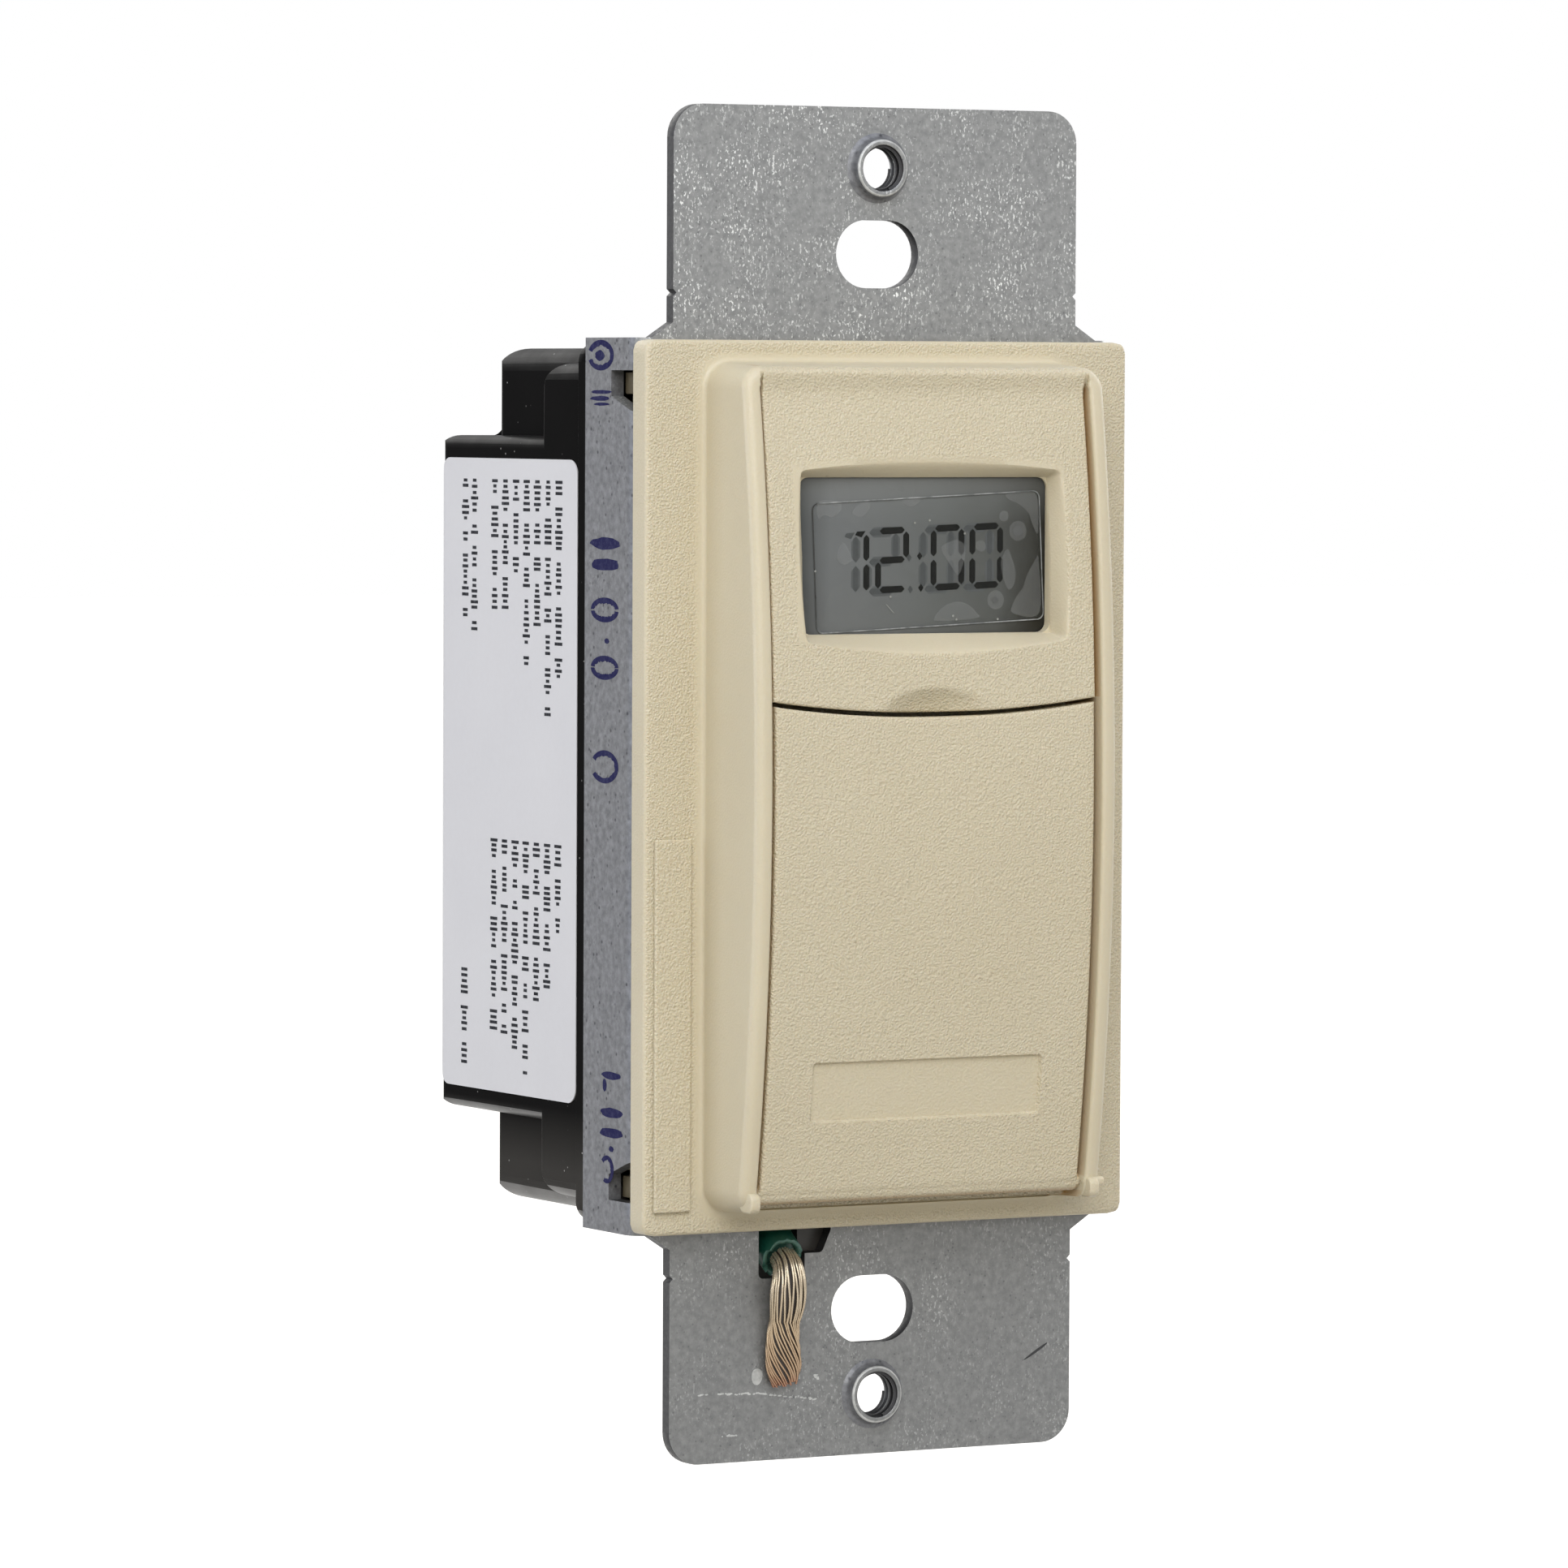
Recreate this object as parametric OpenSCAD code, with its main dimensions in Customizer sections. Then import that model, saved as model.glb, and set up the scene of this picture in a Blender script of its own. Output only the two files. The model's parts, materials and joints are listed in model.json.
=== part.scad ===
// In-wall digital timer switch with a flip-down door, a coin-cell drawer and a steel mounting strap.
// Millimetres. +Z is up, the face looks towards -Y, +X is to the right of someone facing it.
// The origin is midway between the two plate-screw holes, on the rear face of the strap.

/* [Strap] */
// Thickness of the strap's sheet steel
strap_t = 1.1; // [0.9:0.1:1.4]
// Height of the strap over both ears
strap_h = 106.4; // [105:0.1:110]
// Width of each ear
ear_w = 36.5; // [32:0.5:39]
// Corner radius of each ear
ear_r = 2.6; // [1:0.1:4]
// Width over the two side flanges
strap_w = 43; // [42.2:0.1:44]
// Height of the channel behind the bezel
channel_h = 70; // [69:0.1:71]
// Depth of the side flanges, front face to rear edge
channel_d = 8.4; // [7:0.1:10]
// Outer radius of the two long bends
bend_r = 1.4; // [1.4:0.1:1.8]
// Height where an ear starts to flare out to the channel
flare_z = 36.2; // [35.6:0.1:37]
// Distance between the wall-plate screw holes
plate_pitch = 96.84; // [96:0.01:98]
// Diameter of the wall-plate screw holes
plate_hole_d = 3.5; // [3:0.1:4]
// Outer diameter of the collar drawn around each screw hole
collar_d = 4.9; // [4.6:0.1:6]
// Height of that collar in front of the strap
collar_h = 0.9; // [0.5:0.1:1.5]
// Distance between the two box-screw slots
box_pitch = 83.34; // [82:0.01:84]
// Length of a box-screw slot, across the strap
slot_l = 7.45; // [6:0.05:9]
// Height of a box-screw slot
slot_w = 5.35; // [4.6:0.05:6]

/* [Bezel] */
// How far the bezel's flange reaches past the strap on each side
bezel_lap = 0.25; // [0:0.05:0.6]
// Height of the bezel's flange
bezel_h = 69.7; // [69:0.1:72]
// Thickness of the bezel's flange
bezel_t = 2.16; // [1.8:0.02:2.6]
// Width of the raised part at its foot
raised_w = 33.1; // [32.6:0.1:33.4]
// Height of the raised part
raised_h = 66.3; // [66:0.1:66.8]
// How far the crest of the side rails stands in front of the flange
crest_h = 8.15; // [7.6:0.05:8.6]
// Radius of the long arch that the face follows
arch_r = 215; // [190:5:260]
// Height of the arch's crest
arch_z = 0; // [-1:0.5:1]
// Width of each side rail
rail_w = 1.35; // [1.2:0.05:1.6]
// How far the rails stand proud of the door and the upper panel
rail_step = 0.55; // [0.3:0.05:0.7]
// Thickness of the upper panel
panel_t = 1.5; // [1.2:0.1:1.6]
// Height of the floor behind the door above the flange
floor_rise = 2.64; // [2.5:0.02:2.8]
// Thickness of that floor
floor_t = 1.2; // [1:0.1:1.3]

/* [Display] */
// Width of the window's inner edge
window_w = 22; // [20:0.1:23]
// Height of the window's inner edge
window_h = 12.2; // [11:0.1:13]
// Height of the window's middle
window_z = 18.1; // [17.6:0.1:18.6]
// Width that the scooped surround adds on each side
scoop_side = 1.3; // [0.5:0.1:1.5]
// Height that the scooped surround adds at top and bottom
scoop_end = 1.5; // [0.8:0.1:1.8]
// Thickness of the display glass
glass_t = 2; // [1.6:0.1:2.2]
// Margin of the display glass around the window
glass_margin = 2; // [1.6:0.1:2.4]

/* [Door] */
// Thickness of the door
door_t = 1.5; // [1.2:0.1:1.6]
// Gap around the door
door_gap = 0.3; // [0.2:0.05:0.4]
// Height of the seam above the door, at its two ends
seam_z = 6.95; // [6:0.05:7.4]
// How far the seam dips in the middle
seam_dip = 1.05; // [0.5:0.05:1.4]
// Height of the hinge axis
hinge_z = -31.5; // [-31.7:0.05:-31.2]
// Radius of the rolled lower edge that the hinge pins stand on
barrel_r = 0.8; // [0.75:0.05:0.9]
// Radius of the hinge pins
pin_r = 0.45; // [0.4:0.05:0.5]
// Radial clearance of the pins in the rails
pin_clear = 0.05; // [0.03:0.01:0.08]
// Width of the sunk rectangle on the door
badge_w = 20.6; // [16:0.2:24]
// Height of the sunk rectangle on the door
badge_h = 4.65; // [3:0.05:6]

/* [Buttons] */
// Travel of every button
button_travel = 0.4; // [0.3:0.05:0.45]
// Clearance of a button in its hole
button_gap = 0.15; // [0.1:0.05:0.25]
// How far the buttons stand in front of their floor
button_rise = 1.3; // [1:0.1:1.4]
// Side of a key switch under a button
key_w = 4.5; // [4:0.1:5]

/* [Battery drawer] */
// Diameter of the coin cell
cell_d = 20; // [19.6:0.1:20.2]
// Thickness of the coin cell
cell_t = 1.6; // [1.4:0.1:1.7]
// Thickness of the drawer behind the cell
drawer_floor = 0.4; // [0.3:0.05:0.5]
// Sliding clearance around the drawer
drawer_gap = 0.1; // [0.08:0.01:0.15]
// Width of the drawer's front strip
strip_w = 3.2; // [3:0.1:3.4]
// How far the strip reaches past the drawer at its top
strip_lap = 0.8; // [0.3:0.1:1]
// How far the strip stands in front of the flange
strip_t = 0.4; // [0.3:0.05:0.8]

/* [Housing] */
// How far the housing's label faces lie inside the strap's side flanges
housing_inset = 0.2; // [0:0.05:0.3]
// Wall thickness
housing_wall = 1.5; // [1.2:0.1:1.8]
// Wall thickness beside the battery drawer
housing_side = 1; // [0.8:0.05:1.1]
// Thickness of the lip that meets the side flanges
lip_t = 1.2; // [0.8:0.1:1.6]
// Height of the shoulders
shoulder_h = 68.4; // [68.2:0.1:69]
// How far the shoulders lie inside the label faces
shoulder_inset = 1.8; // [1.4:0.1:2.4]
// Depth of the shoulders behind the strap
shoulder_d = 26.4; // [24:0.1:28]
// Height of the side cheeks beside the shoulders
cheek_h = 66; // [65:0.1:67]
// Depth of the side cheeks behind the strap
cheek_d = 15; // [14.8:0.1:17]
// Height of the deep box
box_h = 54.4; // [53:0.1:57]
// Depth of the deep box behind the strap
box_d = 33.2; // [30:0.1:36]
// Fillet between the upper shoulder and the deep box
step_fillet = 3; // [0.5:0.1:3]
// Diameter of the lead exits in the back
exit_d = 4.2; // [3.4:0.1:5]

/* [Ground lead] */
// Diameter of the insulated ground lead
lead_d = 3.5; // [3:0.1:3.7]

/* [Electronics] */
// Thickness of both circuit boards
board_t = 1.4; // [1:0.1:1.5]
// Height of the relay above its board
relay_h = 15.7; // [15.7:0.1:17]

/* [Hidden] */
$fn = 64;

ivory = [0.87, 0.81, 0.65];
steel = [0.62, 0.63, 0.63];
soot = [0.09, 0.09, 0.09];
copper = [0.72, 0.45, 0.3];
brass = [0.78, 0.66, 0.36];

// Small running gap between pieces that pass each other
run = 0.15;
// Past-the-surface length of a cut
over = 1;

// Depths, front to back
strap_front = -strap_t;
flange_front = strap_front - bezel_t;
bezel_w = strap_w + 2 * bezel_lap;
crest = flange_front - crest_h;
floor_front = flange_front - floor_rise;
floor_back = floor_front + floor_t;
flange_back = channel_d - strap_t;
lip_back = flange_back + lip_t;

// The long arch: every curved face is a cylinder about this one line
arch_y = crest + arch_r;
panel_r = arch_r - rail_step;
function arch_depth(z, r = arch_r) = arch_y - sqrt(r * r - (z - arch_z) * (z - arch_z));

// Openings in the bezel
draft = 0.35;
raised_r = 2;
rail_x = raised_w / 2 - draft - rail_w;
hollow_x = raised_w / 2 - draft - 1;
hollow_z = raised_h / 2 - 2.4;
seam_r = (rail_x * rail_x + seam_dip * seam_dip) / (2 * seam_dip);
seam_centre = seam_z - seam_dip + seam_r;
roll_set = 0.08;
hinge_y = arch_depth(hinge_z, panel_r) + barrel_r + roll_set;
relief_y = hinge_y + barrel_r + door_gap;
pin_l = rail_w - 0.4;

// Display stack: glass behind the panel, board behind the key switches
panel_back = arch_depth(window_z + window_h / 2, panel_r - panel_t);
glass_front = panel_back + 0.15;
glass_back = glass_front + glass_t;
film_t = 0.1;
board_front = floor_back + 2.3;
board_back = board_front + board_t;
board_x = hollow_x - 0.3;
board_z = hollow_z - 0.3;
key_h = board_front - floor_back - 0.45 - button_travel - 0.1;
key_top = board_front - key_h;
stem_r = 1;
stem_in = 0.2;

// Snap hooks of the bezel and their notches in the strap
hook_z = [30.6, 32.3];
hook_x = [strap_w / 2 - strap_t - 1.4, strap_w / 2 - strap_t - 0.2];
hook_y = 3.4;

// Housing
housing_w = strap_w - 2 * housing_inset;
shoulder_w = housing_w - 2 * shoulder_inset;
deep_x = housing_w / 2 - housing_side;
deep_z = box_h / 2 - housing_wall;

// Battery drawer
drawer_x = [-strap_w / 2 + strap_t + 0.25, -strap_w / 2 + strap_t + 0.25 + drawer_floor + cell_t + 0.1];
strip_x = [drawer_x[0] - (strip_w - drawer_x[1] + drawer_x[0]) * 0.75,
    drawer_x[1] + (strip_w - drawer_x[1] + drawer_x[0]) * 0.25];
cell_wall = 0.4;
cell_y = flange_front + cell_d / 2 + 1.3;
cell_z = -deep_z + run + cell_wall + cell_d / 2;
drawer_z = [-hook_z[0] + 0.5, cell_z + cell_d / 2 + cell_wall];
drawer_tail_z = [cell_z - cell_d / 2 - cell_wall, drawer_z[1]];
strip_z = [-raised_h / 2 + 0.15, drawer_z[1] + strip_lap];
drawer_step = cheek_d - housing_wall - 0.5;
drawer_end = cell_y + cell_d / 2 + 1;

// Rim of the housing inside the channel, and the lead exits
rim_x = strap_w / 2 - strap_t - run;
rim_z = shoulder_h / 2;
rim_t = 1;
cavity_x = shoulder_w / 2 - housing_wall;
cavity_z = shoulder_h / 2 - housing_wall;
exit_z = -16;
exit_x = [-12, -4, 4, 12];

// Power board and what stands on it
power_back = lip_back;
power_front = power_back - board_t;
power_x = [drawer_x[1] + 0.9, cavity_x - 0.4];
power_z = rim_z - rim_t - run;
header_z = 22;
header_w = 20.32;
header_h = 2.4;
relay_x = [2.4, 15.1];
relay_z = [-8, 21];
relay_foot = 2.2;
relay_wall = 0.8;
relay_top = power_back + relay_h;
coil_x = (relay_x[0] + relay_x[1]) / 2;
coil_r = 4.6;
core_r = 1.6;
yoke_t = 1.2;
yoke_y = power_back + relay_foot + 0.2;
coil_y = yoke_y + yoke_t + 0.1 + coil_r;
pivot_y = yoke_y + yoke_t / 2;
armature_z = relay_z[0] + 21.7;
armature_t = 1.2;
armature_x = [coil_x - 4, coil_x + 4];
blade_z = armature_z + armature_t;
blade_x = [coil_x - 1.5, coil_x + 1.5];
contact_y = coil_y + coil_r + 0.7;
contact_r = 0.6;
leaf_t = 0.6;

// Ground lead: hand-chosen points from the power board, out under the bezel and onto the lower ear
lead_x = -8.1;
lead_route = [[lead_x, power_front, -29], [lead_x, 6, -29], [lead_x, 4.9, -29.9], [lead_x, 4, -31.4],
    [lead_x, 3.2, -33], [lead_x, 2.2, -34.5], [lead_x, 1, -35.9], [lead_x, -0.2, -36.8],
    [lead_x, -0.9, -37.25]];
strand_route = [[-8.1, -1, -37.3], [-8.15, -1.85, -37.8], [-8.25, -2.3, -38.7], [-8.35, -2.4, -39.6],
    [-8.42, -2.4, -40.6], [-8.45, -2.2, -41.6], [-8.47, -2, -42.3], [-8.5, -1.85, -43.2],
    [-8.52, -1.75, -44.5], [-8.53, -1.7, -46], [-8.53, -1.6, -47.3]];
strand_half_w = [1.3, 1.5, 1.7, 1.75, 1.72, 1.65, 1.6, 1.65, 1.72, 1.75, 1.3];
strand_half_t = [1.15, 1.15, 1.1, 1.15, 1.1, 0.95, 0.8, 0.65, 0.55, 0.5, 0.4];
notch_x = [-10.3, -3.8];
notch_z = -38.84;
wire_boss_z = notch_z + 1.9;

// Block between two limits on each axis
module block(x, y, z) {
    translate([x[0], y[0], z[0]])
        cube([x[1] - x[0], y[1] - y[0], z[1] - z[0]]);
}

// Round bar along X, Y or Z
module bar_x(r, x, y, z) {
    translate([x[0], y, z]) rotate([0, 90, 0]) cylinder(r = r, h = x[1] - x[0]);
}

module bar_y(r, x, y, z) {
    translate([x, y[1], z]) rotate([90, 0, 0]) cylinder(r = r, h = y[1] - y[0]);
}

module bar_z(r, x, y, z) {
    translate([x, y, z[0]]) cylinder(r = r, h = z[1] - z[0]);
}

// Front view drawing (X, Z) given thickness from one depth to another
module front_plate(y) {
    translate([0, y[1], 0]) rotate([90, 0, 0]) linear_extrude(height = y[1] - y[0]) children();
}

// Side view drawing (Y, Z) given thickness from one X to another
module side_plate(x) {
    translate([x[0], 0, 0]) rotate([90, 0, 90]) linear_extrude(height = x[1] - x[0]) children();
}

// Rectangle with round corners
module round_rect(a, b, r) {
    translate([a[0] + r, b[0]]) square([a[1] - a[0] - 2 * r, b[1] - b[0]]);
    translate([a[0], b[0] + r]) square([a[1] - a[0], b[1] - b[0] - 2 * r]);
    for (u = [a[0] + r, a[1] - r], v = [b[0] + r, b[1] - r])
        translate([u, v]) circle(r);
}

function pm(v) = [-v, v];

// Solid behind the arch of a given radius
module behind_arch(r, x) {
    translate([x[0], arch_y, arch_z]) rotate([0, 90, 0]) cylinder(r = r, h = x[1] - x[0], $fn = 360);
}

// Outline of an open channel, front corners rounded
module channel_shape(half, front, back, r) {
    translate([-half, front + r]) square([2 * half, back - front - r]);
    translate([-half + r, front]) square([2 * half - 2 * r, back - front]);
    for (s = [-1, 1])
        translate([s * (half - r), front + r]) circle(r);
}

module mounting_strap() {
    nick = 0.4;
    nick_z = 38.5;
    window = [pm(hollow_x + 0.3), pm(hollow_z + 0.3)];
    color(steel) difference() {
        union() {
            linear_extrude(height = channel_h, center = true) difference() {
                channel_shape(strap_w / 2, strap_front, flange_back, bend_r);
                channel_shape(strap_w / 2 - strap_t, 0, flange_back + over, bend_r - strap_t);
            }
            front_plate([strap_front, 0]) {
                round_rect(pm(ear_w / 2), pm(strap_h / 2), ear_r);
                polygon([[-ear_w / 2, flare_z], [-strap_w / 2 + bend_r, channel_h / 2],
                    [-strap_w / 2 + bend_r, -channel_h / 2], [-ear_w / 2, -flare_z],
                    [ear_w / 2, -flare_z], [strap_w / 2 - bend_r, -channel_h / 2],
                    [strap_w / 2 - bend_r, channel_h / 2], [ear_w / 2, flare_z]]);
            }
            for (z = pm(plate_pitch / 2))
                bar_y(collar_d / 2, 0, [strap_front - collar_h, 0], z);
        }
        for (z = pm(plate_pitch / 2))
            bar_y(plate_hole_d / 2, 0, [strap_front - collar_h - over, over], z);
        for (z = pm(box_pitch / 2))
            front_plate([strap_front - over, over]) box_slot(z);
        block(window[0], [strap_front - over, over], window[1]);
        block([-strap_w / 2 + strap_t, 0], [strap_front - over, over],
            [drawer_z[0] - run, drawer_z[1] + run]);
        for (s = [-1, 1], z = [0, 1])
            mirror([s < 0 ? 1 : 0, 0, 0]) mirror([0, 0, z]) clip_notch();
        front_plate([strap_front - over, over]) ground_notch();
        for (s = [-1, 1], z = pm(nick_z))
            translate([s * ear_w / 2, 0, z]) rotate([0, 45, 0])
                cube([nick, 4 * strap_t, nick], center = true);
    }
}

module box_slot(z) {
    flat = slot_l - slot_w;
    translate([-flat / 2, z - slot_w / 2]) square([flat, slot_w]);
    for (s = [-1, 1])
        translate([s * flat / 2, z]) circle(slot_w / 2);
}

// Notch through a long bend, where a snap hook of the bezel comes through
module clip_notch() {
    slant = 1.6;
    depth = [strap_front - over, hook_y - 0.4];
    block([hook_x[0] - run, strap_w / 2 + over], depth, [hook_z[0] - run, hook_z[1] + run]);
    side_plate([strap_w / 2 - bend_r, strap_w / 2 + over])
        polygon([[depth[0], hook_z[0] - slant], [strap_front, hook_z[0] - slant],
            [depth[1], hook_z[0] - run], [depth[0], hook_z[0] - run]]);
}

module ground_notch() {
    step_x = lead_x + lead_d / 2 + 0.2;
    top = -hollow_z - 1.5;
    offset(r = 0.4) offset(delta = -0.4)
        polygon([[notch_x[0], top], [notch_x[0], notch_z], [step_x, notch_z], [step_x, notch_z + 1.85],
            [notch_x[1] - 0.8, notch_z + 1.85], [notch_x[1], notch_z + 3.6], [notch_x[1], top]]);
}

// Front view of the recess that the door closes, or of the door itself with a gap
module door_outline(gap) {
    difference() {
        translate([-rail_x + gap, hinge_z]) square([2 * (rail_x - gap), seam_z - hinge_z]);
        translate([0, seam_centre]) circle(seam_r + gap, $fn = 360);
    }
}

// Front view of the window, wider and taller by the given margins, with bowed long edges
module window_outline(side, end) {
    w = window_w / 2 + side;
    h = window_h / 2 + end * 0.45;
    bow = end * 0.55 + 0.01;
    bow_r = (w * w + bow * bow) / (2 * bow);
    intersection() {
        translate([-w, window_z - h - bow]) square([2 * w, 2 * h + 2 * bow]);
        translate([0, window_z + h + bow - bow_r]) circle(bow_r, $fn = 180);
        translate([0, window_z - h - bow + bow_r]) circle(bow_r, $fn = 180);
    }
}

module bezel() {
    thumb_r = 9;
    thumb_half = 4.6;
    thumb_rise = sqrt(thumb_r * thumb_r - thumb_half * thumb_half);
    thumb_z = seam_z - seam_dip - 2.3;
    lug_r = 0.75;
    lug_rise = 0.5;
    ledge = 1.1;
    color(ivory) difference() {
        union() {
            front_plate([flange_front, strap_front]) round_rect(pm(bezel_w / 2), pm(bezel_h / 2), 1);
            intersection() {
                front_plate([crest - over, strap_front])
                    round_rect(pm(raised_w / 2), pm(raised_h / 2), raised_r);
                linear_extrude(height = raised_h + over, center = true)
                    polygon([[-raised_w / 2, strap_front], [-raised_w / 2 + draft, crest - over],
                        [raised_w / 2 - draft, crest - over], [raised_w / 2, strap_front]]);
                behind_arch(arch_r, pm(raised_w));
            }
            for (s = [0, 1])
                mirror([s, 0, 0])
                    bar_x(lug_r, [rail_x, rail_x + rail_w], arch_depth(hinge_z) + lug_r - lug_rise, hinge_z);
            for (s = [0, 1], z = [0, 1])
                mirror([s, 0, 0]) mirror([0, 0, z]) snap_hook();
            for (x = pm(board_x - 1.2), z = [-board_z + 1.2, 4])
                bar_y(1, x, [floor_back - 0.2, board_front], z);
        }
        difference() {
            block(pm(rail_x), [crest - over, flange_front], [hinge_z, raised_h]);
            behind_arch(panel_r, pm(raised_w));
        }
        front_plate([crest - over, floor_front]) door_outline(0);
        block(pm(rail_x), [crest - over, relief_y], [-raised_h, hinge_z + barrel_r + door_gap]);
        block(pm(rail_x), [crest - over, flange_front], [-raised_h, hinge_z - barrel_r]);
        difference() {
            block(pm(hollow_x), [floor_back, over], [-hollow_z, hollow_z]);
            for (x = pm(board_x - 1.2), z = [-board_z + 1.2, 4])
                bar_y(1, x, [floor_back - 0.2, board_front], z);
        }
        intersection() {
            block(pm(hollow_x), [crest, over], [seam_z + panel_t, hollow_z]);
            behind_arch(panel_r - panel_t, pm(raised_w));
        }
        hull() {
            translate([0, arch_depth(window_z, panel_r), window_z])
                rotate([-asin((window_z - arch_z) / panel_r), 0, 0])
                    translate([0, 0, -window_z])
                        front_plate([-over, 0]) window_outline(scoop_side, scoop_end);
            front_plate([panel_back - ledge, panel_back]) window_outline(0, 0);
        }
        front_plate([crest, glass_back]) window_outline(0, 0);
        block(pm(window_w / 2 + glass_margin + run), [glass_front - film_t, over],
            [window_z - window_h / 2 - glass_margin - run, window_z + window_h / 2 + glass_margin + run]);
        translate([0, arch_depth(thumb_z, panel_r) - thumb_rise, thumb_z]) sphere(thumb_r);
        for (s = [0, 1])
            mirror([s, 0, 0])
                bar_x(pin_r + pin_clear, [rail_x - over, rail_x + pin_l + pin_clear], hinge_y, hinge_z);
        block([drawer_x[0] - drawer_gap, drawer_x[1] + drawer_gap], [flange_front - over, over],
            [drawer_z[0] - drawer_gap, drawer_z[1] + drawer_gap]);
        for (b = BUTTONS)
            front_plate([floor_front - over, floor_back + over]) button_outline(b, button_gap);
    }
}

// Hook on the flange's rear, with a barb behind the strap
module snap_hook() {
    block(hook_x, [strap_front - 0.3, hook_y], hook_z);
    block([hook_x[0] - 0.5, hook_x[0] + 0.5], [run, 0.9], hook_z);
}

module door() {
    nub_z = BUTTONS[1][2];
    nub_tip = floor_front - button_rise - 0.75;
    badge_z = -23.6;
    color(ivory) difference() {
        union() {
            intersection() {
                front_plate([crest, flange_front]) door_outline(door_gap);
                difference() {
                    behind_arch(panel_r, pm(raised_w));
                    behind_arch(panel_r - door_t, pm(raised_w));
                }
            }
            bar_x(barrel_r, pm(rail_x - door_gap), hinge_y, hinge_z);
            bar_x(pin_r, pm(rail_x + pin_l), hinge_y, hinge_z);
            bar_y(1.5, 0, [arch_depth(nub_z, panel_r - door_t / 2), nub_tip], nub_z);
        }
        difference() {
            block(pm(badge_w / 2), [crest, floor_front], [badge_z - badge_h / 2, badge_z + badge_h / 2]);
            behind_arch(panel_r - 0.25, pm(raised_w));
        }
    }
}

// Buttons under the door: name, X, Z, width, height, corner radius
BUTTONS = [["mode", -7.6, -14.5, 6.4, 5, 1.6], ["on_off", 0, -2.6, 13, 6.4, 3],
    ["plus", 7.6, -12.4, 6, 4.6, 1.6], ["minus", 7.6, -19.2, 6, 4.6, 1.6],
    ["reset", -7.6, -22.6, 3.4, 3.4, 1.6]];

module button_outline(b, grow) {
    translate([b[1], b[2]])
        round_rect(pm(b[3] / 2 + grow), pm(b[4] / 2 + grow), b[5] + grow);
}

module button(b) {
    collar = 0.5;
    collar_front = floor_back + 0.05;
    collar_back = collar_front + 0.4;
    color(ivory) {
        front_plate([floor_front - button_rise, collar_front]) button_outline(b, 0);
        front_plate([collar_front, collar_back]) button_outline(b, collar);
        bar_y(stem_r, b[1], [collar_back, key_top + stem_in], b[2]);
    }
}

module key_switches() {
    color([0.16, 0.16, 0.17])
        for (b = BUTTONS)
            difference() {
                translate([b[1], 0, b[2]]) block(pm(key_w / 2), [key_top, board_front], pm(key_w / 2));
                bar_y(stem_r + run, b[1], [key_top - over, key_top + stem_in + button_travel + 0.1], b[2]);
            }
}

module display_glass() {
    color([0.55, 0.58, 0.56])
        block(pm(window_w / 2 + glass_margin), [glass_front, glass_back],
            [window_z - window_h / 2 - glass_margin, window_z + window_h / 2 + glass_margin]);
}

// Clear film on the front of the glass, slightly askew
module display_film() {
    film_w = window_w - 1.5;
    film_h = window_h - 2.1;
    color([0.8, 0.82, 0.82])
        translate([1, 0, window_z - 0.4]) rotate([0, -2.5, 0])
            block(pm(film_w / 2), [glass_front - film_t, glass_front], pm(film_h / 2));
}

module contact_strips() {
    strip = 1.5;
    offset = window_h / 2 + glass_margin - 0.3 - strip / 2;
    color([0.75, 0.45, 0.5])
        for (z = [window_z - offset, window_z + offset])
            translate([0, 0, z])
                block(pm(window_w / 2 + glass_margin - 0.5), [glass_back, board_front], pm(strip / 2));
}

module display_board() {
    color([0.1, 0.35, 0.2])
        block(pm(board_x), [board_front, board_back], pm(board_z));
}

module controller_chip() {
    chip_w = 10;
    chip_t = 1.4;
    color(soot)
        translate([0, 0, -4]) block(pm(chip_w / 2), [board_back, board_back + chip_t], pm(chip_w / 2));
}

module clock_crystal() {
    can_r = 1;
    can_l = 6;
    color(steel)
        bar_z(can_r, 9, board_back + can_r, [-can_l / 2 - 5, can_l / 2 - 5]);
}

// Row of pins that joins the two boards
module board_header() {
    pins = 8;
    pitch = 2.54;
    pin_half = 0.3;
    body_front = power_front - 2.5;
    color(brass) {
        for (i = [0:pins - 1])
            translate([(i - (pins - 1) / 2) * pitch, 0, header_z])
                block(pm(pin_half), [board_back, body_front], pm(pin_half));
        translate([0, 0, header_z]) block(pm(header_w / 2), [body_front, power_front], pm(header_h / 2));
    }
}

module power_board() {
    color([0.62, 0.48, 0.25])
        block(power_x, [power_front, power_back], pm(power_z));
}

// Insulating sheet on the front of the power board
module barrier_sheet() {
    sheet_t = 0.3;
    color([0.85, 0.83, 0.75]) difference() {
        block([power_x[0] + 2.5, power_x[1] - 0.5], [power_front - sheet_t, power_front], pm(power_z - 1));
        translate([0, 0, header_z])
            block(pm(header_w / 2 + over), [power_front - over, power_front + over], pm(header_h / 2 + over));
        bar_y(lead_d / 2 + run, lead_x, [power_front - over, power_front + over], lead_route[0][2]);
    }
}

module film_capacitor() {
    cap_w = 7.5;
    cap_d = 12;
    cap_h = 18;
    cap_x = -10.75;
    cap_z = 11;
    color([0.75, 0.62, 0.2])
        translate([cap_x, power_back, cap_z]) block(pm(cap_w / 2), [0, cap_d], pm(cap_h / 2));
}

module smoothing_capacitor() {
    can_r = 5;
    can_h = 12;
    can_x = -9;
    can_z = -9;
    color([0.12, 0.14, 0.25])
        bar_y(can_r, can_x, [power_back, power_back + can_h], can_z);
}

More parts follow.
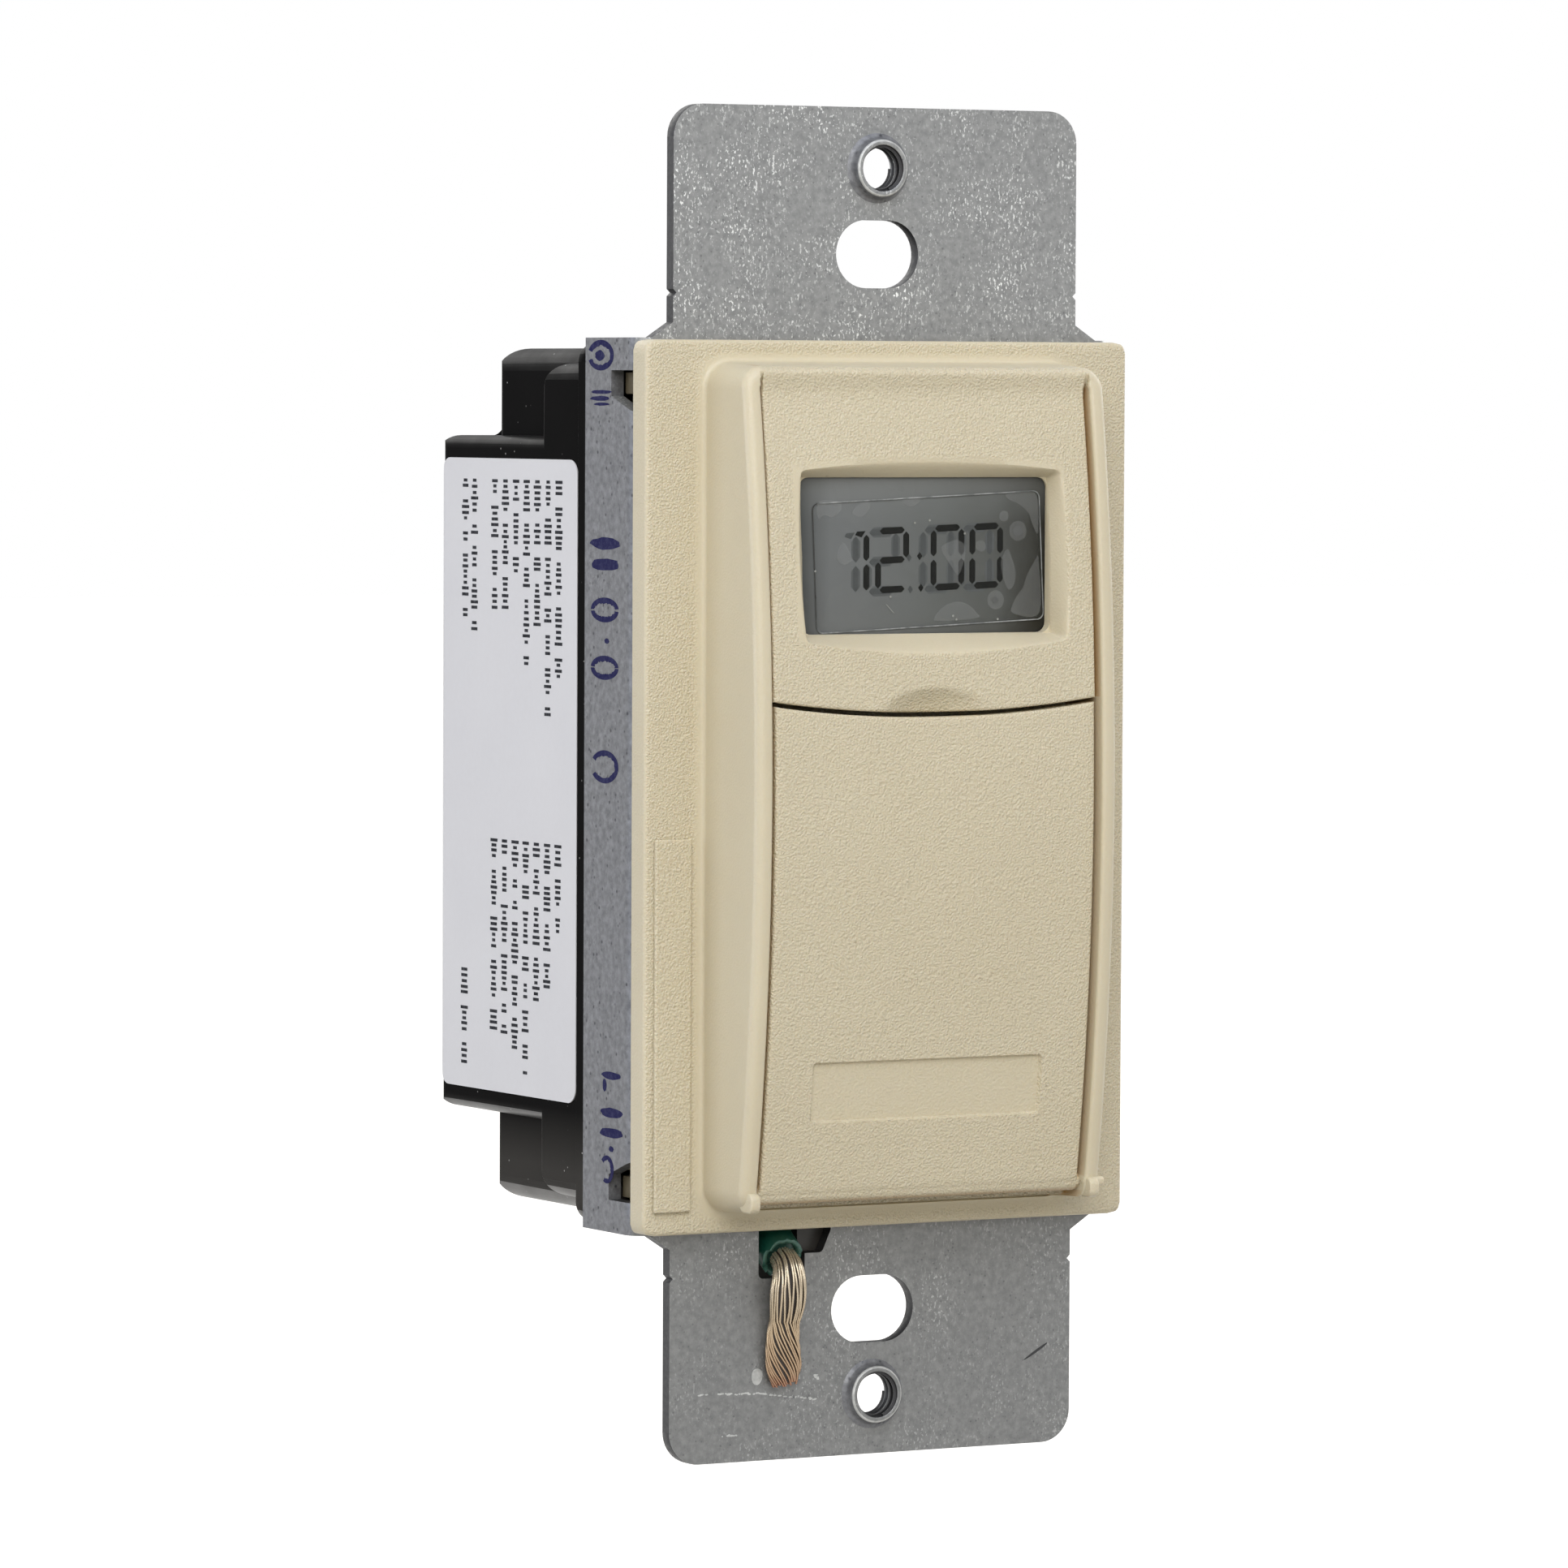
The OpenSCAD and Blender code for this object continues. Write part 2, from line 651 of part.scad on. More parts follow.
module varistor() {
    disc_r = 5;
    disc_t = 4;
    leg_r = 0.4;
    leg_pitch = 5;
    disc_x = 4;
    disc_z = -18;
    color([0.2, 0.4, 0.65]) translate([disc_x, power_back, disc_z]) {
        bar_x(disc_r, pm(disc_t / 2), disc_r + 1.2, 0);
        for (z = pm(leg_pitch / 2))
            bar_y(leg_r, 0, [0, disc_r], z);
    }
}

module relay_base() {
    color([0.1, 0.1, 0.12])
        block(relay_x, [power_back, power_back + relay_foot], relay_z);
}

module relay_cover() {
    color([0.15, 0.25, 0.45]) difference() {
        block(relay_x, [power_back + relay_foot, relay_top], relay_z);
        block([relay_x[0] + relay_wall, relay_x[1] - relay_wall], [power_back, relay_top - relay_wall],
            [relay_z[0] + relay_wall, relay_z[1] - relay_wall]);
    }
}

module relay_coil() {
    color(copper) difference() {
        bar_z(coil_r, coil_x, coil_y, [relay_z[0] + 5, armature_z - 1.6]);
        bar_z(core_r + 0.1, coil_x, coil_y, [relay_z[0], armature_z]);
    }
}

// Iron core through the coil, on an L-shaped yoke that stands on the base
module relay_core() {
    heel = relay_z[0] + 4.6;
    color(steel) {
        bar_z(core_r, coil_x, coil_y, [heel - yoke_t / 2, armature_z - 0.5]);
        block(armature_x, [yoke_y, coil_y + 3], [heel - yoke_t, heel]);
        block(armature_x, [yoke_y, yoke_y + yoke_t], [heel, armature_z - 0.5]);
        block([coil_x - 2, coil_x + 2], [power_back + relay_foot, yoke_y], [heel, armature_z - 4]);
    }
}

module relay_armature() {
    color(steel)
        block(armature_x, [yoke_y, coil_y + 3], [armature_z, armature_z + armature_t]);
}

// Springy moving blade on the armature, with its contact
module relay_blade() {
    color(brass) {
        block(blade_x, [coil_y - 3, contact_y + 0.7], [blade_z, blade_z + 0.3]);
        bar_z(contact_r, coil_x, contact_y, [blade_z - 0.25, blade_z]);
    }
}

// Fixed contacts on both sides of the moving blade
module relay_fixed_contacts() {
    foot = power_back + relay_foot;
    color(brass) {
        block(blade_x, [foot, contact_y + leaf_t / 2], [relay_z[0] + 1.4, relay_z[0] + 1.4 + leaf_t]);
        block(blade_x, [contact_y - leaf_t / 2, contact_y + leaf_t / 2], [relay_z[0] + 1.4, blade_z - 1.4]);
        bar_z(contact_r, coil_x, contact_y, [blade_z - 1.4, blade_z - 1.1]);
        block(blade_x, [foot, contact_y + 0.7], [blade_z + 1.1, blade_z + 1.1 + leaf_t]);
        bar_z(contact_r, coil_x, contact_y, [blade_z + 0.4, blade_z + 1.1]);
    }
}

module battery_drawer() {
    window_r = cell_d / 2 - 3;
    color(ivory) difference() {
        union() {
            block(strip_x, [flange_front - strip_t, flange_front], strip_z);
            block(drawer_x, [flange_front, drawer_step], drawer_z);
            block(drawer_x, [flange_front, drawer_end], drawer_tail_z);
        }
        bar_x(cell_d / 2 + 0.1, [drawer_x[0] + drawer_floor, drawer_x[1] + over], cell_y, cell_z);
        bar_x(window_r, [drawer_x[0] - over, drawer_x[1]], cell_y, cell_z);
    }
}

module coin_cell() {
    foot = drawer_x[0] + drawer_floor;
    cap_t = 0.3;
    rim = 1.2;
    color([0.78, 0.78, 0.76]) {
        bar_x(cell_d / 2, [foot, foot + cell_t - cap_t], cell_y, cell_z);
        bar_x(cell_d / 2 - rim, [foot + cell_t - cap_t, foot + cell_t], cell_y, cell_z);
    }
}

// Two leaf contacts on the power board that reach the cell's face
module battery_contacts() {
    leaf = [drawer_x[1] + 0.1, drawer_x[1] + 0.4];
    color(brass)
        for (z = [cell_z - 4, cell_z + 4]) {
            block(leaf, [cell_y - 6, power_front], [z - 1.5, z + 1.5]);
            block([leaf[0], power_x[0] + 2], [power_front - 0.3, power_front], [z - 1.5, z + 1.5]);
        }
}

// Box whose far edges are rounded in side and top view, and its long edges in front view
module rounded_tub(x, y, z, side_r, top_r, front_r) {
    intersection() {
        side_plate(x) union() {
            round_rect(y, z, side_r);
            translate([y[0], z[0]]) square([y[1] - y[0] - side_r, z[1] - z[0]]);
        }
        translate([0, 0, z[0]]) linear_extrude(height = z[1] - z[0]) union() {
            round_rect(x, y, top_r);
            translate([x[0], y[0]]) square([x[1] - x[0], y[1] - y[0] - top_r]);
        }
        front_plate(y) round_rect(x, z, front_r);
    }
}

// Hollow fillet where the upper shoulder meets the deep box
module shoulder_fillet() {
    root = 0.5;
    side_plate(pm(shoulder_w / 2 - 1.2))
        difference() {
            translate([shoulder_d - root, box_h / 2 - root]) square(step_fillet + root);
            translate([shoulder_d + step_fillet, box_h / 2 + step_fillet]) circle(step_fillet);
        }
}

module rear_housing() {
    color(soot) difference() {
        union() {
            block(pm(rim_x), [run, lip_back], pm(rim_z));
            front_plate([flange_back, lip_back]) round_rect(pm(strap_w / 2), pm(channel_h / 2 - 0.4), 1.5);
            rounded_tub(pm(shoulder_w / 2), [flange_back, shoulder_d], pm(shoulder_h / 2), 2.6, 1.2, 1.8);
            rounded_tub(pm(housing_w / 2), [flange_back, cheek_d], pm(cheek_h / 2), 3, 0.4, 1.3);
            rounded_tub(pm(housing_w / 2), [flange_back, box_d], pm(box_h / 2), 2.2, 1.6, 1);
            shoulder_fillet();
            block([lead_x - 2.8, notch_x[1]], [run, flange_back], [wire_boss_z, -rim_z + rim_t]);
            block([lead_x - 2.8, notch_x[1]], [2.8, flange_back], [notch_z - 0.4, wire_boss_z + over]);
            for (x = exit_x)
                bar_y(exit_d / 2 + 1, x, [box_d - housing_wall, box_d + 0.6], exit_z);
        }
        block(pm(rim_x - rim_t), [-over, power_back], pm(rim_z - rim_t));
        block(pm(cavity_x), [-over, shoulder_d - housing_wall], pm(cavity_z));
        block(pm(deep_x), [-over, cheek_d - housing_wall], pm(cheek_h / 2 - housing_wall));
        block(pm(deep_x), [-over, box_d - housing_wall], pm(deep_z));
        block([-rim_x - over, -rim_x + rim_t + over], [-over, flange_back + lip_t / 2],
            [drawer_z[0] - run, drawer_z[1] + run]);
        for (s = [0, 1], z = [0, 1])
            mirror([s, 0, 0]) mirror([0, 0, z])
                block([hook_x[0] - 0.8, rim_x + over], [-over, hook_y + 0.4],
                    [hook_z[0] - 0.4, hook_z[1] + 0.4]);
        for (x = exit_x)
            bar_y(exit_d / 2, x, [box_d - 2 * housing_wall, box_d + over], exit_z);
        lead_tunnel();
    }
}

// Clear way for the ground lead through the housing's lower wall
module lead_tunnel() {
    way = lead_d + 0.4;
    block([lead_x - way / 2, lead_x + way / 2], [-over, 6.4], [wire_boss_z, -rim_z + 4]);
}

module rating_label() {
    label_t = 0.12;
    color([0.93, 0.93, 0.94])
        side_plate([-housing_w / 2 - label_t, -housing_w / 2])
            round_rect([lip_back + 0.3, box_d - 1.6], pm(box_h / 2 - 1.8), 1.35);
}

// Closed tube through hand-chosen points, with its own half width and half thickness at each ring
module swept_lead(route, half_w, half_t, sides) {
    n = len(route);
    points = [for (i = [0:n - 1])
        let (before = route[max(i - 1, 0)], after = route[min(i + 1, n - 1)], way = after - before,
            across = [0, -way[2], way[1]] / norm([way[1], way[2]]))
        for (k = [0:sides - 1])
            let (a = 360 * k / sides)
            route[i] + [half_w[i] * cos(a), 0, 0] + across * half_t[i] * sin(a)];
    walls = [for (i = [0:n - 2], k = [0:sides - 1])
        let (a = i * sides + k, b = i * sides + (k + 1) % sides)
        each [[a, a + sides, b], [b, a + sides, b + sides]]];
    caps = [[for (k = [0:sides - 1]) k], [for (k = [0:sides - 1]) n * sides - 1 - k]];
    polyhedron(points = points, faces = concat(walls, caps));
}

module ground_lead() {
    halves = [for (p = lead_route) lead_d / 2];
    color([0.1, 0.4, 0.33]) swept_lead(lead_route, halves, halves, 12);
}

module ground_strands() {
    color([0.72, 0.62, 0.5]) swept_lead(strand_route, strand_half_w, strand_half_t, 12);
}

mounting_strap();
bezel();
door();
button(BUTTONS[0]);  // mode_button
button(BUTTONS[1]);  // on_off_button
button(BUTTONS[2]);  // plus_button
button(BUTTONS[3]);  // minus_button
button(BUTTONS[4]);  // reset_button
key_switches();
display_glass();
display_film();
contact_strips();
display_board();
controller_chip();
clock_crystal();
board_header();
power_board();
barrier_sheet();
film_capacitor();
smoothing_capacitor();
varistor();
relay_base();
relay_cover();
relay_coil();
relay_core();
relay_armature();
relay_blade();
relay_fixed_contacts();
battery_drawer();
coin_cell();
battery_contacts();
rear_housing();
rating_label();
ground_lead();
ground_strands();
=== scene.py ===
"""Timer light switch: finished pieces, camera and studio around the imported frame."""
import json
import math
import random

import bmesh
import bpy
import numpy as np
from mathutils import Matrix, Vector


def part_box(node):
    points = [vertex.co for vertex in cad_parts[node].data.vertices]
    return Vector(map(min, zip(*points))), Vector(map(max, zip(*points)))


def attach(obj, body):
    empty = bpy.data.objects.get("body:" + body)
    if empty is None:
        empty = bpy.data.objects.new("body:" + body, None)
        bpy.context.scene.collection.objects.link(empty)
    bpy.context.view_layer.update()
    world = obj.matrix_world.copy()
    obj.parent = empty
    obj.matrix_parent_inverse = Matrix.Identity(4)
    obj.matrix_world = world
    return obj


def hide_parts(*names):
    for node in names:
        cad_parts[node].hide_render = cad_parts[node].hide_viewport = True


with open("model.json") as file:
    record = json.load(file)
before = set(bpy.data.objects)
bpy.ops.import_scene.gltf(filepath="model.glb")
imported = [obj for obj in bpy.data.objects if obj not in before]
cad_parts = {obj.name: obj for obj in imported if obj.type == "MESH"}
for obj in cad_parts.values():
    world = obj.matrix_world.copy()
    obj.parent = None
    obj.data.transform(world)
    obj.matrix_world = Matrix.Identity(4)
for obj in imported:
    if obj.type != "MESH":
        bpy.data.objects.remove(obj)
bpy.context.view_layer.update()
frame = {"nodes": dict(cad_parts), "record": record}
NODES = frame["nodes"]
SCENE = bpy.context.scene
MM = 0.001

# Sizes in millimetres, in the frame of the solids.
FLANGE_BACK, FLANGE_FRONT = -1.1, -3.26
FLANGE_X, FLANGE_Z = 21.75, 34.85
FLANGE_CORNER, FLANGE_EDGE = 0.9, 0.35
RAISED_X, RAISED_Z = 16.55, 33.15
RAISED_CORNER, CORNER_FADE = 2.1, 1.3
CREST, ARCH_R = 8.15, 215.0
WALL_LEAN, EDGE_ROLL, FOOT_ROLL = 0.3, 0.8, 0.4
RAIL_X, RAIL_EDGE, RAIL_TOP = 14.85, 0.32, 31.8
STEP_BACK, STEP_END, STEP_RUN = 0.55, 32.4, 1.6
GROOVE_DEPTH, GROOVE_INSET = 0.8, 0.1
SMALL_EDGE = 0.2
RECESS_RISE, RECESS_END = 2.64, -32.75
SEAM_Z, SEAM_DIP, SEAM_GAP = 6.95, 1.05, 0.36
SEAM_R = (RAIL_X ** 2 + SEAM_DIP ** 2) / (2 * SEAM_DIP)
WINDOW_MID, WINDOW_X = 0.24, 11.18
WINDOW_LOW, WINDOW_HIGH = 12.0, 24.2
WINDOW_Z, WINDOW_TALL, WINDOW_CORNER = 18.1, 12.2, 0.8
SCOOP_X, SCOOP_SPLIT, SCOOP_HALF = 12.2, 18.0, 6.2
SCOOP_LOW, SCOOP_LOW_BOW = 11.5, 1.03
SCOOP_HIGH, SCOOP_HIGH_BOW = 24.7, 0.75
SCOOP_SIDE_BOW = 0.42
SCOOP_FLOOR, SCOOP_FLOOR_HIGH = -8.73, -8.12
THUMB_DEPTH, THUMB_X = 1.1, 5.1
THUMB_Z, THUMB_TALL = 5.5, 2.4
DOOR_X, DOOR_LOW, DOOR_T = 14.5, -32.35, 1.5
DOOR_ROLL, DOOR_EDGE, DOOR_CORNER = 1.3, 0.28, 0.9
DOOR_TAPER_X, TAPER_LEFT, TAPER_RIGHT = 13, 0.1, 0.04
HINGE_Y, HINGE_Z = -7.6539, -31.5
NUB_Z, NUB_R = -2.6, 1.5
PLATE_X, PLATE_LOW, PLATE_HIGH = 10.3, -25.9, -21.25
PLATE_DEPTH, PLATE_SLOPE, PLATE_MARGIN = 0.32, 0.14, 0.06
BUTTON_GAP, BUTTON_CORNER = 0.4, 0.9
SCREW_Z = 48.42
COLLAR_FOOT_R, COLLAR_BORE_R = 2.7, 1.85
SHEET_FRONT = -1.1
INK_X = -21.495
LABEL_LOW, LABEL_TURN, LABEL_Z = 8.8, 31.6, 25.4
LABEL_X, LABEL_T, LABEL_CORNER = -21.3, 0.1, 1.35
LABEL_WRAP, LABEL_OVER = 1.6, 0.65
DIGIT_X, DIGIT_Z, DIGIT_LEAN = 1.26, 2.3, 0.042
STROKE_GAP = 0.13
SHADE_X, SHADE_Z = 0.95, 0.12
FILM_X, FILM_Z, FILM_TURN = 0.86, 17.6, 2.7
LEAD_R, WIRE_R, WIRE_COUNT = 1.75, 0.098, 28
FLOOR_Z, FLOOR_HALF = -68, 3000
HAIR = 0.004

# Powers of the scoop's corners and slope, and of the thumb dip.
SCOOP_ROUND, SCOOP_HOLLOW, THUMB_SOFT = 2.6, 1.3, 1.3

# Strength of the moulded grain on the flange, the face, the sunk plate, button caps, edges and smooth places.
FLANGE_GRAIN, FACE_GRAIN, PLATE_GRAIN, CAP_GRAIN, EDGE_GRAIN, SMOOTH_GRAIN = 0.65, 0.6, 0.3, 0.25, 0.2, 0.12

# The photo's camera: turn, rise and roll in degrees, distance and shifts in millimetres, lens and image in pixels.
VIEW_TURN, VIEW_RISE, VIEW_ROLL = -29.2, 2.68, 0.25
VIEW_DISTANCE, VIEW_RIGHT, VIEW_UP = 671.3, -7.16, -0.12
SENSOR, LENS_PIXELS, IMAGE_PIXELS = 36, 10474, 1932

BUTTONS = (("mode_button", (-7.6, -14.5), (6.4, 5)), ("on_off_button", (0, -2.6), (13, 6.4)),
           ("plus_button", (7.6, -12.4), (6, 4.6)), ("minus_button", (7.6, -19.2), (6, 4.6)),
           ("reset_button", (-7.6, -22.6), (3.4, 3.4)))


def srgb(red, green, blue):
    """Linear colour of an 8-bit screen colour."""
    out = []
    for value in (red, green, blue):
        v = value / 255
        out.append(v / 12.92 if v <= 0.04045 else ((v + 0.055) / 1.055) ** 2.4)
    return (*out, 1.0)


# Meshes

def new_object(name, mesh):
    obj = bpy.data.objects.new(name, mesh)
    SCENE.collection.objects.link(obj)
    return obj


def mesh_object(name, points, faces):
    """An object at the origin from points in millimetres."""
    mesh = bpy.data.meshes.new(name)
    mesh.from_pydata((np.asarray(points, float) * MM).tolist(), [], [list(map(int, f)) for f in faces])
    mesh.validate()
    return new_object(name, mesh)


def settle(obj, angle=32, outward=True):
    """Joins doubles, turns faces outwards and shades smooth up to the angle."""
    bm = bmesh.new()
    bm.from_mesh(obj.data)
    bmesh.ops.remove_doubles(bm, verts=bm.verts, dist=1e-7)
    bmesh.ops.dissolve_degenerate(bm, edges=bm.edges, dist=1e-8)
    if outward:
        bmesh.ops.recalc_face_normals(bm, faces=bm.faces)
    bm.to_mesh(obj.data)
    bm.free()
    obj.data.shade_smooth()
    obj.data.set_sharp_from_angle(angle=math.radians(angle))
    return obj


def bake_modifiers(obj):
    """Turns the evaluated shape into the object's own mesh."""
    bpy.context.view_layer.update()
    deps = bpy.context.evaluated_depsgraph_get()
    mesh = bpy.data.meshes.new_from_object(obj.evaluated_get(deps))
    obj.modifiers.clear()
    old = obj.data
    obj.data = mesh
    mesh.name = obj.name
    bpy.data.meshes.remove(old)
    return obj


def drop(obj):
    mesh = obj.data
    bpy.data.objects.remove(obj)
    bpy.data.meshes.remove(mesh)


def cut(obj, *tools, operation="DIFFERENCE"):
    """Cuts the tools out of a piece, or joins them to it, and removes them."""
    for tool in tools:
        settle(tool)
        change = obj.modifiers.new("cut", "BOOLEAN")
        change.operation = operation
        change.solver = "EXACT"
        change.object = tool
        bake_modifiers(obj)
        drop(tool)
    return obj


def bevel(obj, width, segments=2, angle=30):
    edge = obj.modifiers.new("edge", "BEVEL")
    edge.width = width * MM
    edge.segments = segments
    edge.limit_method = "ANGLE"
    edge.angle_limit = math.radians(angle)
    return bake_modifiers(obj)


def softened(node, name, width, segments=2):
    """A copy of a solid with its faces joined and its edges broken."""
    obj = new_object(name, NODES[node].data.copy())
    obj.data.materials.clear()
    bm = bmesh.new()
    bm.from_mesh(obj.data)
    bmesh.ops.remove_doubles(bm, verts=bm.verts, dist=2e-6)
    bmesh.ops.dissolve_limit(bm, angle_limit=math.radians(1), verts=bm.verts, edges=bm.edges)
    bm.to_mesh(obj.data)
    bm.free()
    settle(bevel(obj, width, segments), outward=False)
    for face in obj.data.polygons:
        face.use_smooth = face.area < 1.5e-6
    return obj


def eased(obj, width, segments=3, angle=30):
    """Closes a piece and breaks its edges."""
    return bevel(settle(obj), width, segments, angle)


def grid_faces(rows, columns, start=0, flip=False):
    faces = []
    for r in range(rows - 1):
        for c in range(columns - 1):
            a = start + r * columns + c
            quad = (a, a + 1, a + columns + 1, a + columns)
            faces.append(quad[::-1] if flip else quad)
    return faces


def slab(name, front, back):
    """A closed piece between two grids of points with the same layout."""
    rows, columns = front.shape[:2]
    count = rows * columns
    points = np.concatenate([front.reshape(-1, 3), back.reshape(-1, 3)])
    faces = grid_faces(rows, columns) + grid_faces(rows, columns, count, True)
    rim = [c for c in range(columns)]
    rim += [r * columns + columns - 1 for r in range(1, rows)]
    rim += [(rows - 1) * columns + c for c in range(columns - 2, -1, -1)]
    rim += [r * columns for r in range(rows - 2, 0, -1)]
    for a, b in zip(rim, rim[1:] + rim[:1]):
        faces.append((b, a, a + count, b + count))
    return mesh_object(name, points, faces)


def rounded_rectangle(centre, size, radius, steps=6):
    """Corner-rounded outline as pairs, anticlockwise."""
    (cx, cz), (w, h) = centre, size
    out = []
    for sx, sz, turn in ((1, 1, 0), (-1, 1, 90), (-1, -1, 180), (1, -1, 270)):
        for i in range(steps + 1):
            a = math.radians(turn + 90 * i / steps)
            out.append((cx + sx * (w / 2 - radius) + radius * math.cos(a),
                        cz + sz * (h / 2 - radius) + radius * math.sin(a)))
    return out


def prism_parts(outline, low, high, axis="y"):
    """Points and faces of a straight prism along an axis, from an outline in the two other ones."""
    order = {"x": lambda u, v, t: (t, u, v), "y": lambda u, v, t: (u, t, v), "z": lambda u, v, t: (u, v, t)}[axis]
    n = len(outline)
    points = [order(u, v, low) for u, v in outline] + [order(u, v, high) for u, v in outline]
    faces = [tuple(range(n)), tuple(range(2 * n - 1, n - 1, -1))]
    return points, faces + [(i, i + n, (i + 1) % n + n, (i + 1) % n) for i in range(n)]


def thin_plate(outline, front, thick):
    """Points and faces of a thin flat piece, from pairs across and up."""
    return prism_parts(outline, front, front + thick)


def prism(name, outline, low, high, axis="y"):
    return mesh_object(name, *prism_parts(outline, low, high, axis))


def block(name, low, high):
    outline = [(low[0], low[2]), (high[0], low[2]), (high[0], high[2]), (low[0], high[2])]
    return prism(name, outline, low[1], high[1])


def rod(name, centre, radius, low, high, axis="x", sides=32):
    ring = [(centre[0] + radius * math.cos(2 * math.pi * i / sides),
             centre[1] + radius * math.sin(2 * math.pi * i / sides)) for i in range(sides)]
    return prism(name, ring, low, high, axis)


def on_curve(a, b, c, d, t):
    """Place between the middle two of four points of a smooth curve."""
    return 0.5 * (2 * b + (c - a) * t + (2 * a - 5 * b + 4 * c - d) * t ** 2 + (3 * b - a - 3 * c + d) * t ** 3)


def smooth_route(points, count):
    """Evenly spread points on a smooth curve through a route."""
    p = np.asarray(points, float)
    p = np.vstack([2 * p[0] - p[1], p, 2 * p[-1] - p[-2]])
    fine = [on_curve(*p[i - 1:i + 3], t) for i in range(1, len(p) - 2) for t in np.linspace(0, 1, 24, endpoint=False)]
    fine = np.array(fine + [p[-2]])
    along = np.concatenate([[0], np.cumsum(np.linalg.norm(np.diff(fine[:, :3], axis=0), axis=1))])
    spread = np.linspace(0, along[-1], count)
    return np.stack([np.interp(spread, along, fine[:, k]) for k in range(fine.shape[1])], 1)


def smooth_loop(points, count=40):
    """Closed smooth outline through points."""
    p = np.array(points, float)
    n = len(p)
    out = []
    for k in range(count):
        t = n * k / count
        i = int(t)
        out.append(tuple(on_curve(*(p[(i + o) % n] for o in (-1, 0, 1, 2)), t - i)))
    return out


def route_frames(route):
    """Unit side and normal directions along a route."""
    side = np.array((1.0, 0.0, 0.0))
    tangent = np.gradient(route, axis=0)
    tangent /= np.linalg.norm(tangent, axis=1)[:, None]
    across = side - tangent * (tangent @ side)[:, None]
    across /= np.linalg.norm(across, axis=1)[:, None]
    return across, np.cross(tangent, across)


def ring_tube(rings):
    """Points and faces of a closed tube through rings of points."""
    rings = np.asarray(rings, float)
    count, sides = rings.shape[:2]
    points = rings.reshape(-1, 3).tolist()
    faces = []
    for r in range(count - 1):
        for s in range(sides):
            a, b = r * sides + s, r * sides + (s + 1) % sides
            faces.append((a, b, b + sides, a + sides))
    faces.append(tuple(range(sides - 1, -1, -1)))
    faces.append(tuple(range((count - 1) * sides, count * sides)))
    return points, faces


def node_tree(name, **sizes):
    """Geometry tree that takes a geometry and named numbers."""
    tree = bpy.data.node_groups.new(name, "GeometryNodeTree")
    tree.interface.new_socket("Geometry", in_out="INPUT", socket_type="NodeSocketGeometry")
    tree.interface.new_socket("Geometry", in_out="OUTPUT", socket_type="NodeSocketGeometry")
    for label, value in sizes.items():
        kind = "NodeSocketInt" if isinstance(value, int) else "NodeSocketFloat"
        tree.interface.new_socket(label, in_out="INPUT", socket_type=kind).default_value = value
    return tree, tree.nodes.new("NodeGroupInput"), tree.nodes.new("NodeGroupOutput")


def wired(tree, *pairs):
    for start, end in pairs:
        tree.links.new(start, end)


def tree_end(tree, geometry, out, finish):
    """Makes a tree's instances real, gives them their finish and ends the tree."""
    whole = tree.nodes.new("GeometryNodeRealizeInstances")
    dressed = tree.nodes.new("GeometryNodeSetMaterial")
    dressed.inputs["Material"].default_value = finish
    wired(tree, (geometry, whole.inputs["Geometry"]), (whole.outputs["Geometry"], dressed.inputs["Geometry"]),
          (dressed.outputs["Geometry"], out.inputs[0]))
    return tree


def grown(obj, tree):
    """Runs a geometry tree on an object, with its inputs set, and keeps the result as its mesh."""
    change = obj.modifiers.new("grow", "NODES")
    change.node_group = tree
    for item in tree.interface.items_tree:
        if item.in_out == "INPUT" and item.socket_type != "NodeSocketGeometry":
            change[item.identifier] = item.default_value
    return bake_modifiers(obj)


def joined(name, parts):
    """One object from several lists of points and faces."""
    points, faces = [], []
    for part_points, part_faces in parts:
        shift = len(points)
        points += list(part_points)
        faces += [tuple(i + shift for i in f) for f in part_faces]
    return mesh_object(name, points, faces)


def gathered(name, pieces):
    """One object from several, which are removed."""
    parts = [([tuple(v.co / MM) for v in p.data.vertices], [tuple(f.vertices) for f in p.data.polygons])
             for p in pieces]
    for piece in pieces:
        drop(piece)
    return settle(joined(name, parts))


def grade(obj, name, rule):
    """Writes a named strength on a piece, the same all over or from each point in millimetres."""
    values = obj.data.attributes.new(name, "FLOAT", "POINT").data
    for point, value in zip(obj.data.vertices, values):
        value.value = float(rule(*(point.co / MM)) if callable(rule) else rule)
    return obj


def place(obj, finish, body, slot, *replaced):
    """Gives a piece its finish and body and hides the solids it stands for; the slot is not used."""
    obj.data.materials.clear()
    obj.data.materials.append(finish)
    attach(obj, body)
    if replaced:
        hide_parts(*replaced)
    return obj


def paint(obj, finishes, rule):
    """Adds finishes to a piece and gives each face the one that a rule picks by its direction and middle."""
    for finish in finishes:
        obj.data.materials.append(finish)
    order = list(obj.data.materials)
    for face in obj.data.polygons:
        face.material_index = order.index(rule(face.normal, face.center / MM))


# Finishes

